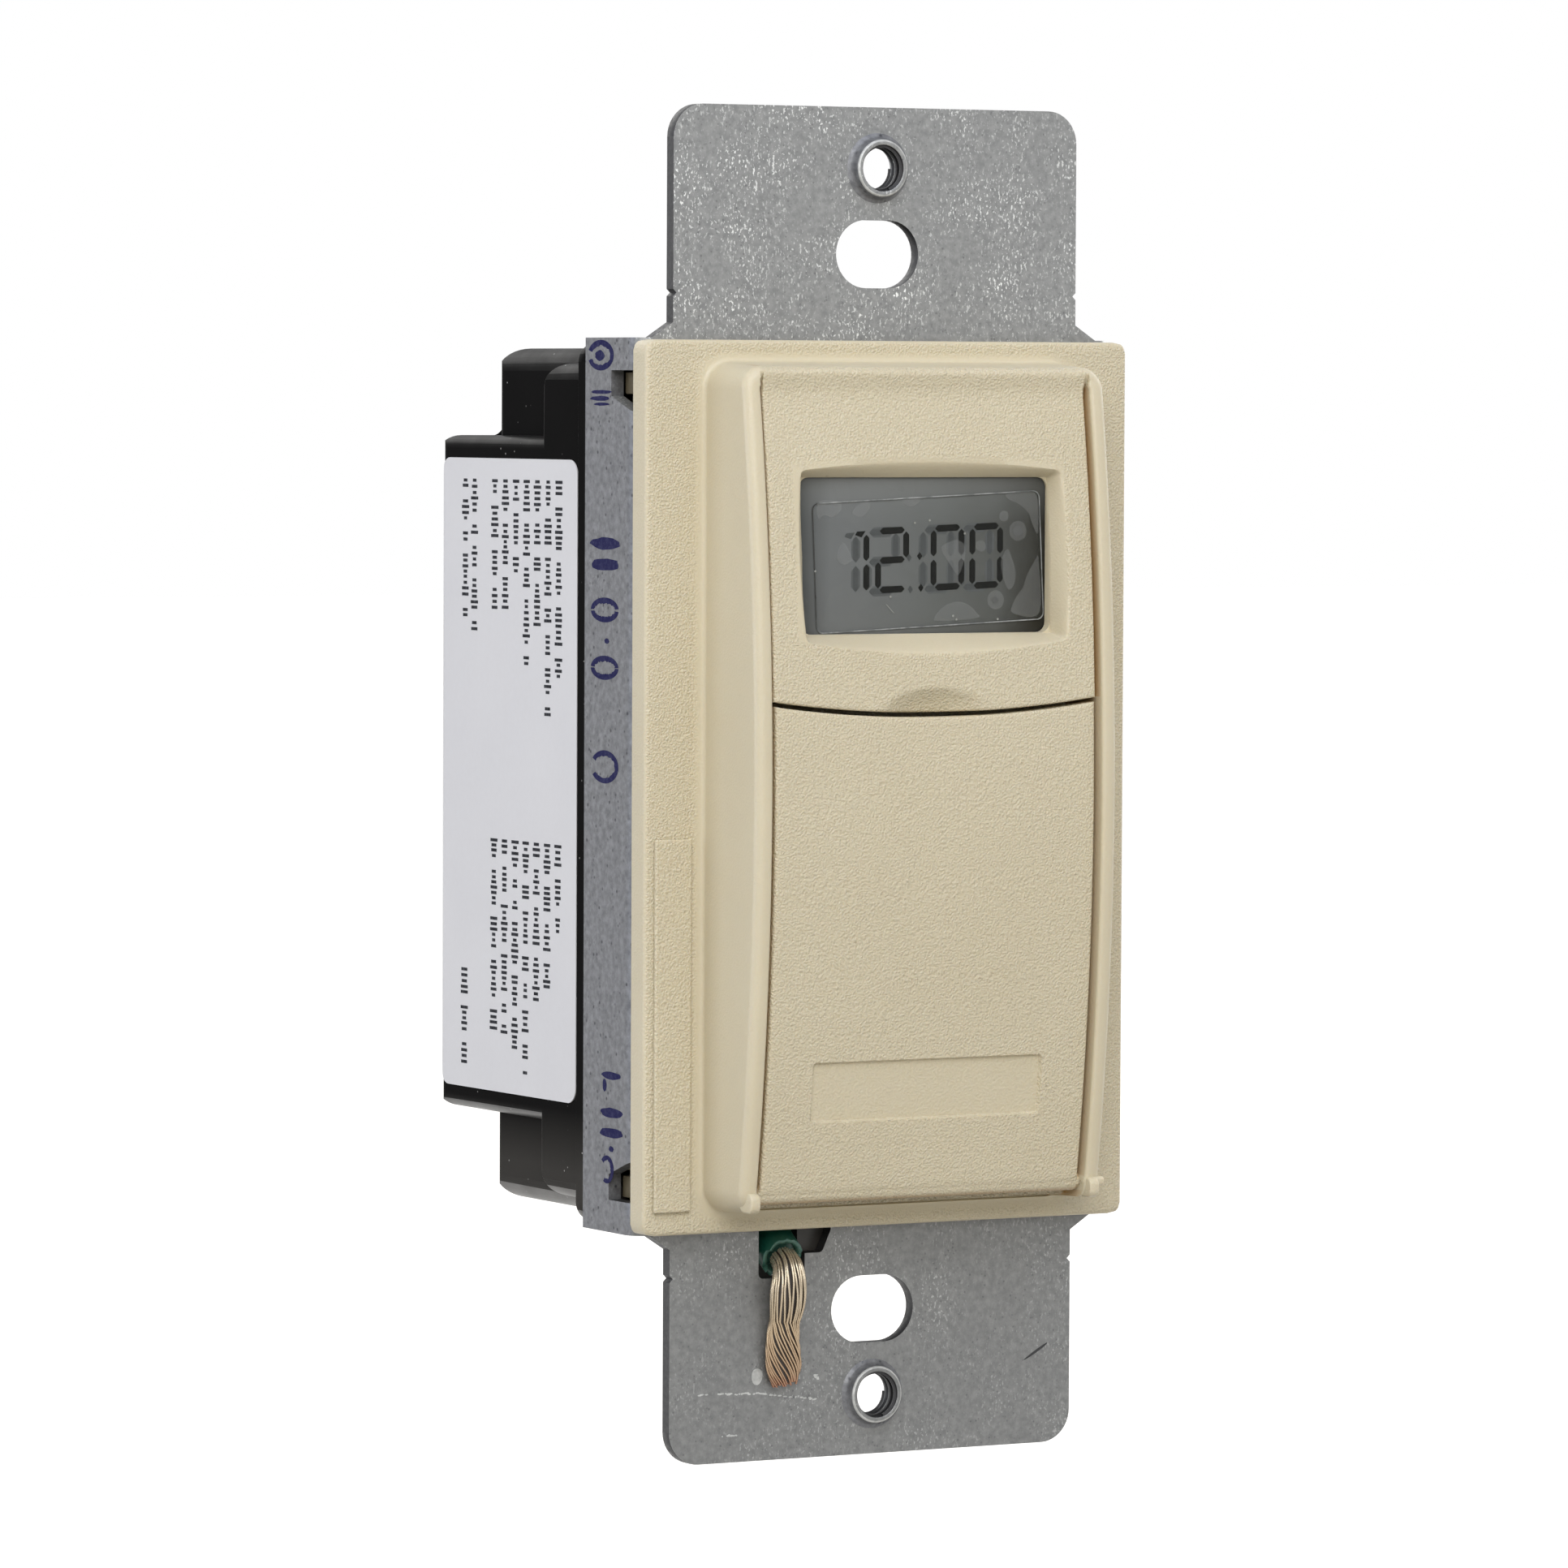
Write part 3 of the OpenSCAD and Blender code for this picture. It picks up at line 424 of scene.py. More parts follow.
class Finish:
    """A material with one main shader and short ways to feed it."""

    def __init__(self, name, **sockets):
        self.material = bpy.data.materials.new(name)
        self.material.use_nodes = True
        self.tree = self.material.node_tree
        self.shader = self.tree.nodes["Principled BSDF"]
        self.coordinates = self.tree.nodes.new("ShaderNodeTexCoord").outputs["Object"]
        for socket, value in sockets.items():
            self.shader.inputs[socket.replace("_", " ")].default_value = value

    def node(self, kind, **inputs):
        made = self.tree.nodes.new(kind)
        for key, value in inputs.items():
            self.feed(made.inputs[key.replace("_", " ")], value)
        return made

    def feed(self, socket, value):
        if isinstance(value, bpy.types.NodeSocket):
            self.tree.links.new(value, socket)
        else:
            socket.default_value = value

    def noise(self, size, detail=2.0, rough=0.5, stretch=None):
        """Noise with features of a size in millimetres."""
        where = self.coordinates
        if stretch:
            where = self.node("ShaderNodeMapping", Vector=where, Scale=stretch).outputs[0]
        return self.node("ShaderNodeTexNoise", Vector=where, Scale=1 / (size * MM), Detail=detail,
                         Roughness=rough).outputs["Fac"]

    def cells(self, size):
        """Distance from scattered points that lie about a size in millimetres apart."""
        return self.node("ShaderNodeTexVoronoi", Vector=self.coordinates, Scale=1 / (size * MM)).outputs["Distance"]

    def along(self, axis, start, end):
        """Share of the way between two places on an axis, in millimetres."""
        place_on = self.node("ShaderNodeSeparateXYZ", Vector=self.coordinates).outputs[axis]
        return self.node("ShaderNodeMapRange", Value=place_on, From_Min=start * MM, From_Max=end * MM).outputs["Result"]

    def ramp(self, value, *stops):
        """Grey or colour stops as pairs of place and value."""
        made = self.node("ShaderNodeValToRGB", Fac=value)
        band = made.color_ramp
        while len(band.elements) < len(stops):
            band.elements.new(0.5)
        for element, (where, colour) in zip(band.elements, stops):
            element.position = where
            element.color = colour if isinstance(colour, tuple) else (colour, colour, colour, 1)
        return made.outputs["Color"]

    def mix(self, amount, first, second, blend="MIX"):
        made = self.tree.nodes.new("ShaderNodeMix")
        made.data_type = "RGBA"
        made.blend_type = blend
        self.feed(made.inputs["Factor"], amount)
        self.feed(made.inputs[6], first)
        self.feed(made.inputs[7], second)
        return made.outputs[2]

    def maths(self, operation, first, second):
        made = self.tree.nodes.new("ShaderNodeMath")
        made.operation = operation
        self.feed(made.inputs[0], first)
        self.feed(made.inputs[1], second)
        return made.outputs[0]

    def times(self, first, *others):
        for other in others:
            first = self.maths("MULTIPLY", first, other)
        return first

    def shine(self, size, detail, low, high, rough=0.5):
        """Roughness that drifts between two values."""
        return self.ramp(self.noise(size, detail, rough), (0.3, low), (0.7, high))

    def bump(self, height, depth, strength=1.0, under=None):
        """Normal of a relief with a depth in millimetres."""
        made = self.node("ShaderNodeBump", Height=height, Distance=depth * MM, Strength=strength)
        if under is not None:
            self.feed(made.inputs["Normal"], under)
        return made.outputs[0]

    def attribute(self, name):
        made = self.tree.nodes.new("ShaderNodeAttribute")
        made.attribute_name = name
        return made.outputs["Fac"]

    def to(self, **sockets):
        for socket, value in sockets.items():
            self.feed(self.shader.inputs[socket.replace("_", " ")], value)
        return self.material


def moulded_ivory():
    """Ivory plastic with a moulded grain and few dark specks, with painted shade in the grain's hollows and a painted
    brown shade in narrow gaps.
    """
    f = Finish("moulded_ivory", IOR=1.46, Subsurface_Weight=0.12, Subsurface_Scale=0.0007)
    f.shader.inputs["Subsurface Radius"].default_value = (1.0, 0.62, 0.3)
    tone = f.mix(f.noise(14, 3), srgb(199, 188, 161), srgb(207, 197, 171))
    speck = f.ramp(f.cells(5.2), (0.0, 1.0), (0.03, 0.0))
    tone = f.mix(f.times(speck, 0.6), tone, srgb(112, 94, 66))
    # Painted brown shade deep in narrow gaps and on the door's side edges.
    tone = f.mix(f.maths("POWER", f.attribute("gap"), 0.6), tone, srgb(172, 134, 80))
    grain = f.attribute("grain")
    pebble = f.noise(0.18, 1, 0.4)
    # Painted shade: the grain's hollows are darkened in colour.
    hollow = f.ramp(pebble, (0.3, 1.0), (0.52, 0.0))
    tone = f.mix(f.times(hollow, grain, 0.3), tone, srgb(170, 155, 122))
    fine = f.bump(pebble, 0.27, grain)
    coarse = f.times(f.maths("SUBTRACT", grain, FACE_GRAIN), 5.0)
    wavy = f.bump(f.noise(0.27, 1, 0.4), 0.04, coarse, fine)
    return f.to(Base_Color=tone, Roughness=f.shine(3.1, 4, 0.36, 0.48), Normal=wavy)


def zinc_steel(name, low, high, rubs, pits, below=1.0, pit_size=0.42):
    """Zinc-coated sheet with mottling, short bright rubs and dark pits; darker and less rubbed lower down."""
    f = Finish(name, Metallic=0.4, IOR=1.5)
    up = f.along("Z", -38, 38)
    tone = f.mix(f.ramp(f.noise(0.6, 4, 0.62), (0.34, 0.0), (0.66, 1.0)), low, high)
    tone = f.mix(1.0, tone, f.ramp(up, (0.0, below), (1.0, 1.0)), "MULTIPLY")
    crowd = f.ramp(f.noise(4.5, 4), (0.4, 0.08), (0.68, 1.0))
    crowd = f.times(crowd, f.ramp(up, (0.0, 0.3), (1.0, 1.0)))
    rub = f.ramp(f.noise(0.19, 3, 0.6, (1.0, 1.0, 0.6)), (0.57, 0.0), (0.64, 1.0))
    tone = f.mix(f.times(rub, crowd, rubs), tone, srgb(232, 233, 231))
    pit = f.ramp(f.cells(pit_size), (0.12, 1.0), (0.26, 0.0))
    sparse = f.ramp(f.noise(1.1, 3), (0.42, 0.0), (0.58, 1.0))
    tone = f.mix(f.times(pit, sparse, pits), tone, srgb(40, 40, 46))
    relief = f.bump(f.noise(0.45, 4, 0.65), 0.02, 0.5)
    return f.to(Base_Color=tone, Roughness=f.shine(0.5, 4, 0.4, 0.6, 0.7), Normal=relief)


def black_moulding(name, gloss):
    """Black plastic, a little greyer low down, with some dust."""
    f = Finish(name, IOR=1.5, Specular_IOR_Level=gloss)
    tone = f.mix(f.noise(6, 4), srgb(16, 16, 16), srgb(23, 22, 22))
    tone = f.mix(f.times(f.along("Z", -26, -31), 0.9), tone, srgb(66, 64, 61))
    dust = f.ramp(f.cells(1.1), (0.045, 1.0), (0.085, 0.0))
    some = f.ramp(f.noise(2.3, 2), (0.42, 0.0), (0.6, 1.0))
    tone = f.mix(f.times(dust, some, 0.8), tone, srgb(186, 184, 180))
    return f.to(Base_Color=tone, Roughness=f.shine(4, 4, 0.3, 0.42), Normal=f.bump(f.noise(0.5, 3), 0.012, 0.4))


def label_paper():
    f = Finish("label_paper", IOR=1.45, Specular_IOR_Level=0.25)
    tone = f.mix(f.noise(9, 4), srgb(212, 211, 213), srgb(220, 219, 220))
    fibre = f.ramp(f.noise(0.4, 3, 0.6), (0.4, 0.0), (0.7, 1.0))
    tone = f.mix(f.times(fibre, 0.12), tone, srgb(226, 227, 230))
    return f.to(Base_Color=tone, Roughness=f.shine(5, 3, 0.42, 0.52), Normal=f.bump(f.noise(2.6, 3), 0.012, 0.4))


def print_ink(name, dark, pale, wear=0.3):
    f = Finish(name, Specular_IOR_Level=0.06)
    worn = f.ramp(f.noise(0.35, 3, 0.7), (0.45, 0.0), (0.75, wear))
    return f.to(Base_Color=f.mix(worn, dark, pale), Roughness=f.shine(1, 2, 0.5, 0.65))


def display_glass():
    """Grey cell with painted shade, darker at its left edge and towards the right, and painted light, paler near its
    top.
    """
    f = Finish("display_glass", IOR=1.5, Specular_IOR_Level=0.08)
    # Painted shade: darker at the left edge and towards the right.
    tone = f.ramp(f.along("X", -11, 11), (0.0, srgb(70, 72, 71)), (0.14, srgb(109, 111, 111)),
                  (0.34, srgb(106, 108, 107)), (0.56, srgb(99, 101, 99)), (0.8, srgb(85, 86, 83)),
                  (1.0, srgb(44, 42, 36)))
    # Painted light: paler towards the top, where the scoop's shadow falls.
    tone = f.mix(f.times(f.along("Z", 20.5, 24.2), 0.3), tone, srgb(140, 143, 142))
    cloud = f.ramp(f.noise(3.4, 3), (0.4, 0.0), (0.7, 1.0))
    tone = f.mix(f.times(cloud, 0.1), tone, srgb(120, 124, 124))
    return f.to(Base_Color=tone, Roughness=f.shine(4, 2, 0.2, 0.3))


def clear_film(name, colour, alpha):
    """Thin see-through layer with a little dust in it."""
    f = Finish(name, IOR=1.45, Alpha=alpha, Specular_IOR_Level=0.06)
    tone = f.mix(f.noise(1.6, 3), colour, tuple(min(1.0, c * 1.2) for c in colour[:3]) + (1.0,))
    return f.to(Base_Color=tone, Roughness=f.shine(2.2, 3, 0.22, 0.34))


def film_edge_light_and_shade():
    """Edge of the film with painted light and shade: dark on its left side and pale elsewhere."""
    f = Finish("film_edge_light_and_shade", IOR=1.45)
    broken = f.ramp(f.noise(1.4, 4, 0.7), (0.4, srgb(98, 101, 101)), (0.62, srgb(152, 154, 153)))
    lit_side = f.ramp(f.along("X", -9.6, -8.6), (0.35, 0.0), (0.65, 1.0))
    return f.to(Base_Color=f.mix(lit_side, srgb(38, 38, 36), broken), Roughness=f.shine(0.6, 3, 0.25, 0.4))


def cut_green():
    """Green insulation, paler on its cut end."""
    f = Finish("green_insulation", IOR=1.48, Subsurface_Weight=0.15, Subsurface_Scale=0.0006)
    tone = f.mix(f.noise(2.2, 4), srgb(12, 66, 54), srgb(24, 84, 70))
    tone = f.mix(f.attribute("rim"), tone, srgb(60, 100, 88))
    return f.to(Base_Color=tone, Roughness=f.shine(1.5, 3, 0.3, 0.45), Normal=f.bump(f.noise(0.6, 4), 0.03, 0.5))


def strand_metal():
    """Tinned copper that turns brown and then bare towards the welded end."""
    f = Finish("strand_metal", Metallic=0.7)
    tone = f.ramp(f.along("Z", -37.2, -47.4), (0.0, srgb(198, 187, 166)), (0.42, srgb(178, 162, 138)),
                  (0.56, srgb(184, 164, 136)), (0.9, srgb(164, 138, 112)), (1.0, srgb(146, 104, 84)))
    stain = f.ramp(f.noise(0.5, 4, 0.7), (0.42, 0.0), (0.68, 1.0))
    tone = f.mix(f.times(stain, 0.25), tone, srgb(104, 78, 54))
    return f.to(Base_Color=tone, Roughness=f.shine(0.5, 3, 0.2, 0.36), Normal=f.bump(f.noise(0.2, 3, 0.6), 0.005, 0.5))


def inner_finish(name, colour, rough, metal=0.0, size=2.0, depth=0.02, spread=0.25):
    """A plain worked finish, mottled at a size, for pieces inside the housing and for small parts."""
    f = Finish(name, Metallic=metal)
    dark = tuple(c * (1 - spread) for c in colour[:3]) + (1.0,)
    shine = f.shine(size / 2, 3, max(rough - 0.1, 0.05), rough + 0.1)
    return f.to(Base_Color=f.mix(f.noise(size, 4), dark, colour), Roughness=shine,
                Normal=f.bump(f.noise(size / 4, 3), depth, 0.5))


IVORY = moulded_ivory()
STEEL = zinc_steel("zinc_face", srgb(122, 123, 123), srgb(142, 143, 142), 1.0, 0.4, 0.8)
# Darker copy for faces turned sideways or deep in the notches: its darker tone is painted shade, its heavier pits are
# the sides' own wear.
SHADED_SIDE_STEEL = zinc_steel("shaded_zinc_side", srgb(92, 93, 96), srgb(122, 123, 126), 0.1, 0.9, 1.0, 0.7)
SHEARED = inner_finish("sheared_edge", srgb(50, 50, 52), 0.5, 0.3, 0.7, 0.03, 0.5)
# Brighter zinc for rubs on the strap's rounded edges and for scratches, and a painted highlight on the collars' rims.
RUBBED_AND_HIGHLIGHT = zinc_steel("rubbed_zinc_and_highlight", srgb(158, 159, 157), srgb(188, 189, 187), 0.9, 0.2)
BLACK = black_moulding("black_moulding", 0.3)
BLACK_TOP = black_moulding("black_top", 0.018)
BLACK_SIDE = black_moulding("black_side", 0.004)
PAPER = label_paper()
LABEL_INK = print_ink("label_ink", srgb(30, 31, 36), srgb(120, 122, 128))
STAMP_INK = print_ink("stamp_ink", srgb(24, 24, 68), srgb(80, 82, 112), 0.4)
GLASS = display_glass()
SEGMENT_INK = print_ink("segment_ink", srgb(20, 19, 17), srgb(34, 32, 30), 0.2)
# Painted shadows of the digits on the cell's back: offset dark copies of the strokes.
PAINTED_DIGIT_SHADOW = print_ink("digit_shade", srgb(76, 78, 78), srgb(86, 88, 88), 0.6)
PAINTED_DIGIT_SHADOW_RIM = print_ink("digit_shade_rim", srgb(87, 89, 89), srgb(95, 97, 97), 0.6)
FILM = clear_film("clear_film", srgb(120, 128, 126), 0.02)
VEIL = clear_film("film_bubble", srgb(196, 198, 196), 0.055)
FILM_EDGE_LIGHT_AND_SHADE = film_edge_light_and_shade()
GREEN = cut_green()
STRANDS = strand_metal()
STRAND_SHADE = inner_finish("strand_shade", srgb(34, 25, 18), 0.6, 0.0, 0.6, 0.02, 0.5)
SHADED_IVORY = inner_finish("shaded_ivory", srgb(112, 102, 80), 0.5, 0.0, 1.5, 0.02, 0.2)
DUST = inner_finish("dust", srgb(150, 150, 144), 0.6, 0.0, 0.4, 0.01, 0.3)


# Shape rules of the face

def arch_drop(z):
    """How far the arch of the face falls back from its crest."""
    return ARCH_R - np.sqrt(ARCH_R ** 2 - z ** 2)


def seam_at(x):
    """Height of the seam between the upper panel and the door."""
    inside = np.minimum(np.abs(x), RAIL_X)
    return SEAM_Z - SEAM_DIP + SEAM_R - np.sqrt(SEAM_R ** 2 - inside ** 2)


def rounded_inside(x, z, half_x, half_z, corner):
    """Distance inwards from a corner-rounded outline."""
    dx, dz = np.abs(x) - (half_x - corner), np.abs(z) - (half_z - corner)
    return corner - np.hypot(np.maximum(dx, 0), np.maximum(dz, 0)) - np.minimum(np.maximum(dx, dz), 0)


def raised_profile(t, height):
    """Foot, wall, rolled edge and top, by distance in from the foot line."""
    foot = FOOT_ROLL - np.sqrt(np.maximum(FOOT_ROLL ** 2 - np.clip(FOOT_ROLL + t, 0, FOOT_ROLL) ** 2, 0))
    wall = FOOT_ROLL + (height - EDGE_ROLL - FOOT_ROLL) * np.clip(t / WALL_LEAN, 0, 1)
    back = np.clip(WALL_LEAN + EDGE_ROLL - t, 0, EDGE_ROLL)
    roll = height - EDGE_ROLL + np.sqrt(np.maximum(EDGE_ROLL ** 2 - back ** 2, 0))
    return np.where(t <= 0, foot, np.where(t < WALL_LEAN, wall, roll))


def edge_drop(inside, radius=SMALL_EDGE):
    """How far a rounded edge falls, by distance in from the edge."""
    e = np.clip(radius - inside, 0, radius)
    return radius - np.sqrt(np.maximum(radius ** 2 - e ** 2, 0))


def scoop_bow(x):
    """Bow of the scoop's long edges, one in the middle and nought at their ends."""
    return np.clip(1 - ((x - WINDOW_MID) / SCOOP_X) ** 2, 0, 1)


def scoop_low(x):
    return SCOOP_LOW - SCOOP_LOW_BOW * scoop_bow(x)


def scoop_high(x):
    return SCOOP_HIGH + SCOOP_HIGH_BOW * scoop_bow(x)


def scoop_side(z):
    return SCOOP_X - SCOOP_SIDE_BOW * np.clip(np.abs(z - WINDOW_Z) / SCOOP_HALF, 0, 1) ** 2


def scooped(x, z, face):
    """The panel's face with the hollow round the display window."""
    across = np.abs(x - WINDOW_MID)
    dx = np.clip((across - WINDOW_X) / (scoop_side(z) - WINDOW_X), 0, 1)
    dz = np.where(z > SCOOP_SPLIT, (z - WINDOW_HIGH) / (scoop_high(x) - WINDOW_HIGH),
                  (WINDOW_LOW - z) / (WINDOW_LOW - scoop_low(x)))
    u = np.clip((dx ** SCOOP_ROUND + np.clip(dz, 0, 1) ** SCOOP_ROUND) ** (1 / SCOOP_ROUND), 0, 1)
    floor = SCOOP_FLOOR + (SCOOP_FLOOR_HIGH - SCOOP_FLOOR) * np.clip((z - SCOOP_SPLIT) / SCOOP_HALF, 0, 1)
    inside = (across < scoop_side(z)) & (z > scoop_low(x)) & (z < scoop_high(x))
    return np.where(inside, face + (floor - face) * (1 - u) ** SCOOP_HOLLOW, face)


def thumb_dip(x, z):
    """Depth of the soft dip above the seam, for a finger on the door's edge."""
    return THUMB_DEPTH * np.clip(1 - (x / THUMB_X) ** 2 - ((z - THUMB_Z) / THUMB_TALL) ** 2, 0, 1) ** THUMB_SOFT


def bezel_front(x, z):
    """Depth of the bezel's front at a place of the face, with the raised part's corners still square."""
    ax = np.abs(x)
    t = np.minimum(RAISED_X - ax, RAISED_Z - np.abs(z))
    crown = CREST - arch_drop(z)
    rail = raised_profile(t, crown) - edge_drop(ax - RAIL_X, RAIL_EDGE) * ((ax >= RAIL_X) & (z < RAIL_TOP))
    above = z - seam_at(x)
    fade = np.clip((STEP_END - z) / STEP_RUN, 0, 1)
    panel = raised_profile(t, crown - STEP_BACK * fade) - edge_drop(np.minimum(DOOR_X - ax, above)) * fade
    panel_face = scooped(x, z, FLANGE_FRONT - panel + thumb_dip(x, z))
    groove = raised_profile(t - GROOVE_INSET * fade, crown - (STEP_BACK + GROOVE_DEPTH) * fade)
    recess = np.where(z > RECESS_END, RECESS_RISE, 0)
    face = np.where(above < 0, FLANGE_FRONT - recess, np.where(ax < DOOR_X, panel_face, FLANGE_FRONT - groove))
    face = np.where(ax < RAIL_X, face, FLANGE_FRONT - rail)
    flat = FLANGE_FRONT + edge_drop(rounded_inside(x, z, FLANGE_X, FLANGE_Z, FLANGE_CORNER), FLANGE_EDGE)
    return np.where(t <= 0, np.where(t > -FOOT_ROLL, FLANGE_FRONT - raised_profile(t, crown), flat), face)


def base_at(z):
    """Depth of the door's front on its arch."""
    return FLANGE_FRONT - CREST + STEP_BACK + arch_drop(z)


def edge_lines(outer, radius, steps=4):
    """Places that follow a rounded edge, inwards to outwards."""
    return [outer - radius + radius * math.sin(math.pi / 2 * i / steps) for i in range(steps + 1)]


def wall_lines(outer):
    """Places across the rolled edge, wall and foot of the raised part, inwards to outwards."""
    out = [outer - WALL_LEAN - EDGE_ROLL + EDGE_ROLL * math.sin(math.pi / 2 * i / 9) for i in range(10)]
    out += [outer - WALL_LEAN * k for k in (0.66, 0.33)] + [outer - HAIR, outer + HAIR]
    return out + [outer + FOOT_ROLL * k for k in (0.06, 0.2, 0.45, 1.0)]


def mirrored(half):
    half = sorted(set(round(v, 5) for v in half))
    return np.array([-v for v in reversed(half) if v > 0] + half)


def bezel_grid():
    """Places across and up the bezel's face, closer together where its shape turns."""
    half = list(np.arange(0, 5.2, 0.4)) + list(np.arange(5.6, 9.6, 0.8)) + list(np.linspace(10, 12.4, 22))
    half += [13, 13.8]
    half += edge_lines(DOOR_X - HAIR, SMALL_EDGE) + [DOOR_X + HAIR, RAIL_X - HAIR, RAIL_X + HAIR]
    half += [RAIL_X + RAIL_EDGE * k for k in (0.03, 0.1, 0.2, 0.35, 0.6, 1.0)]
    half += [15.3] + wall_lines(RAISED_X) + [17.6, 18.6, 19.6, 20.6] + edge_lines(FLANGE_X, FLANGE_EDGE)
    frame_lines = [WINDOW_MID + s * v for s in (-1, 1) for v in (WINDOW_X, SCOOP_X - 0.04, SCOOP_X)]
    xs = np.array(sorted({round(float(v), 4) for v in (*mirrored(half), *frame_lines)}))
    level = np.ones_like(xs)
    ends = wall_lines(RAISED_Z) + [34.0] + edge_lines(FLANGE_Z, FLANGE_EDGE)
    seam, low, high = seam_at(xs), scoop_low(xs), scoop_high(xs)
    rows = [-v * level for v in reversed(ends)] + [(RECESS_END - HAIR) * level, (RECESS_END + HAIR) * level]
    rows += [v * level for v in (-32.0, -31.75, -31.5, -31.25, -31.05, *np.arange(-30, 4.6, 1.5))]
    rows += [seam - 0.8, seam - 0.3, seam - HAIR]
    rows += [seam + HAIR + SMALL_EDGE * k for k in (0, 0.05, 0.15, 0.35, 0.65, 1.0)]
    rows += [seam + 0.2 + (low - 0.3 - seam - 0.2) * k for k in np.linspace(0, 1, 22)[1:]]
    rows += [low + (WINDOW_LOW - low) * k for k in np.linspace(0, 1, 12)]
    rows += [v * level for v in np.linspace(WINDOW_LOW, WINDOW_HIGH, 13)[1:-1]]
    rows += [WINDOW_HIGH + (high - WINDOW_HIGH) * k for k in np.linspace(0, 1, 12)]
    rows += [high + (26.6 - high) * 0.5, 26.6 * level]
    rows += [v * level for v in (27.6, 28.6, 29.6, 30.4, 31.05, 31.25, 31.5, 31.75, 32.0, *ends)]
    zs = np.array(rows)
    order = np.argsort(zs[:, 0], kind="stable")
    zs = np.maximum.accumulate(zs[order], axis=0)
    return np.tile(xs, (len(zs), 1)), zs


def corner_turned(x, z, half_x, half_z, corner, full=1e9, end=2e9):
    """Moves the grid's square corner onto a round one, less so from a full to an end distance."""
    px, pz = np.abs(x) - (half_x - corner), np.abs(z) - (half_z - corner)
    both = (px > 0) & (pz > 0)
    far = np.maximum(px, pz)
    k = 1 + (far / np.maximum(np.hypot(px, pz), 1e-9) - 1) * np.clip((end - far) / (end - full), 0, 1)
    nx = np.where(both, np.sign(x) * (half_x - corner + px * k), x)
    nz = np.where(both, np.sign(z) * (half_z - corner + pz * k), z)
    return nx, nz


def make_bezel():
    x, z = corner_turned(*bezel_grid(), FLANGE_X, FLANGE_Z, FLANGE_CORNER)
    depth = bezel_front(x, z)
    x, z = corner_turned(x, z, RAISED_X, RAISED_Z, RAISED_CORNER, RAISED_CORNER + FOOT_ROLL,
                         RAISED_CORNER + CORNER_FADE)
    front = np.stack([x, depth, z], -1)
    back = np.stack([x, np.full_like(x, FLANGE_BACK), z], -1)
    bezel = settle(slab("bezel_moulding", front, back))
    low, high = (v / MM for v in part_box("battery_drawer"))
    window = rounded_rectangle((WINDOW_MID, WINDOW_Z), (2 * WINDOW_X, WINDOW_TALL), WINDOW_CORNER)
    cut(bezel, block("hollow", (-15.2, -4.7, -30.75), (15.2, 0, 30.75)),
        block("head_room", (-14.2, -6.2, 9), (14.2, -2, 30)),
        block("glass_pocket", (-13.1, -7.95, 9.8), (13.1, -5, 26.4)),
        prism("window", window, -12, -5),
        block("drawer_slot", (low[0] + 0.75, -6, low[2] + 0.6), (high[0] - 0.75, 0, high[2] - 0.6)))
    for _, middle, (wide, tall) in BUTTONS:
        hole = rounded_rectangle(middle, (wide + BUTTON_GAP, tall + BUTTON_GAP), BUTTON_CORNER)
        cut(bezel, prism("hole", hole, -9, -3))
    settle(bezel)
    grade(bezel, "grain", bezel_grain)
    grade(bezel, "gap", bezel_gap)
    hooks = gathered("snap_hooks", [snap_hook(side, end) for side in (-1, 1) for end in (-1, 1)])
    place(hooks, SHADED_IVORY, "base", "bezel")
    lugs = gathered("rail_lugs", lug(-1) + lug(1))
    grade(lugs, "grain", EDGE_GRAIN)
    place(lugs, IVORY, "base", "bezel")
    place(bezel, IVORY, "base", "bezel", "bezel")


def bezel_grain(x, y, z):
    """Strength of the grain: smooth on the rails, the top wall and in the scoop."""
    if y > FLANGE_FRONT + 0.1 or y < -12:
        return EDGE_GRAIN
    if abs(x) > RAISED_X + FOOT_ROLL or abs(z) > RAISED_Z + FOOT_ROLL:
        return FLANGE_GRAIN
    in_scoop = abs(x) < SCOOP_X and scoop_low(x) < z < scoop_high(x)
    smooth = abs(x) > RAIL_X - 0.05 or abs(z) > RAISED_Z - 0.35 or in_scoop
    return SMOOTH_GRAIN if smooth else FACE_GRAIN


def bezel_gap(x, y, z):
    """Strength of the painted brown shade: how much a place lies deep in the groove beside the panel or on the foot of
    a rail beside the door.
    """
    if abs(z) > RAISED_Z - 0.3 or y > FLANGE_BACK - 0.5:
        return 0.0
    in_groove = DOOR_X - 0.02 < abs(x) < RAIL_X + 0.02
    by_door = z < seam_at(x) + 0.02
    if not in_groove or by_door and abs(x) < RAIL_X - 0.02:
        return 0.0
    return min(max((y - base_at(z)) / 0.5 - 0.3, 0.0), 1.0) * 0.9


def lug(side):
    """Rounded ear at the foot of a rail, over the door's pin, and on the right the short bar beside it."""
    face = FLANGE_FRONT - (CREST - arch_drop(HINGE_Z))
    ear = rounded_rectangle((face + 0.33, -32.0), (2.0, 1.55), 0.6)
    made = [prism("lug", ear, *sorted((side * 14.9, side * 15.75)), "x")]
    if side > 0:
        bar = rounded_rectangle((face + 0.6, -31.55), (1.7, 0.74), 0.3)
        made.append(prism("lug_bar", bar, 15.2, 16.45, "x"))
    return [eased(piece, 0.14, angle=40) for piece in made]


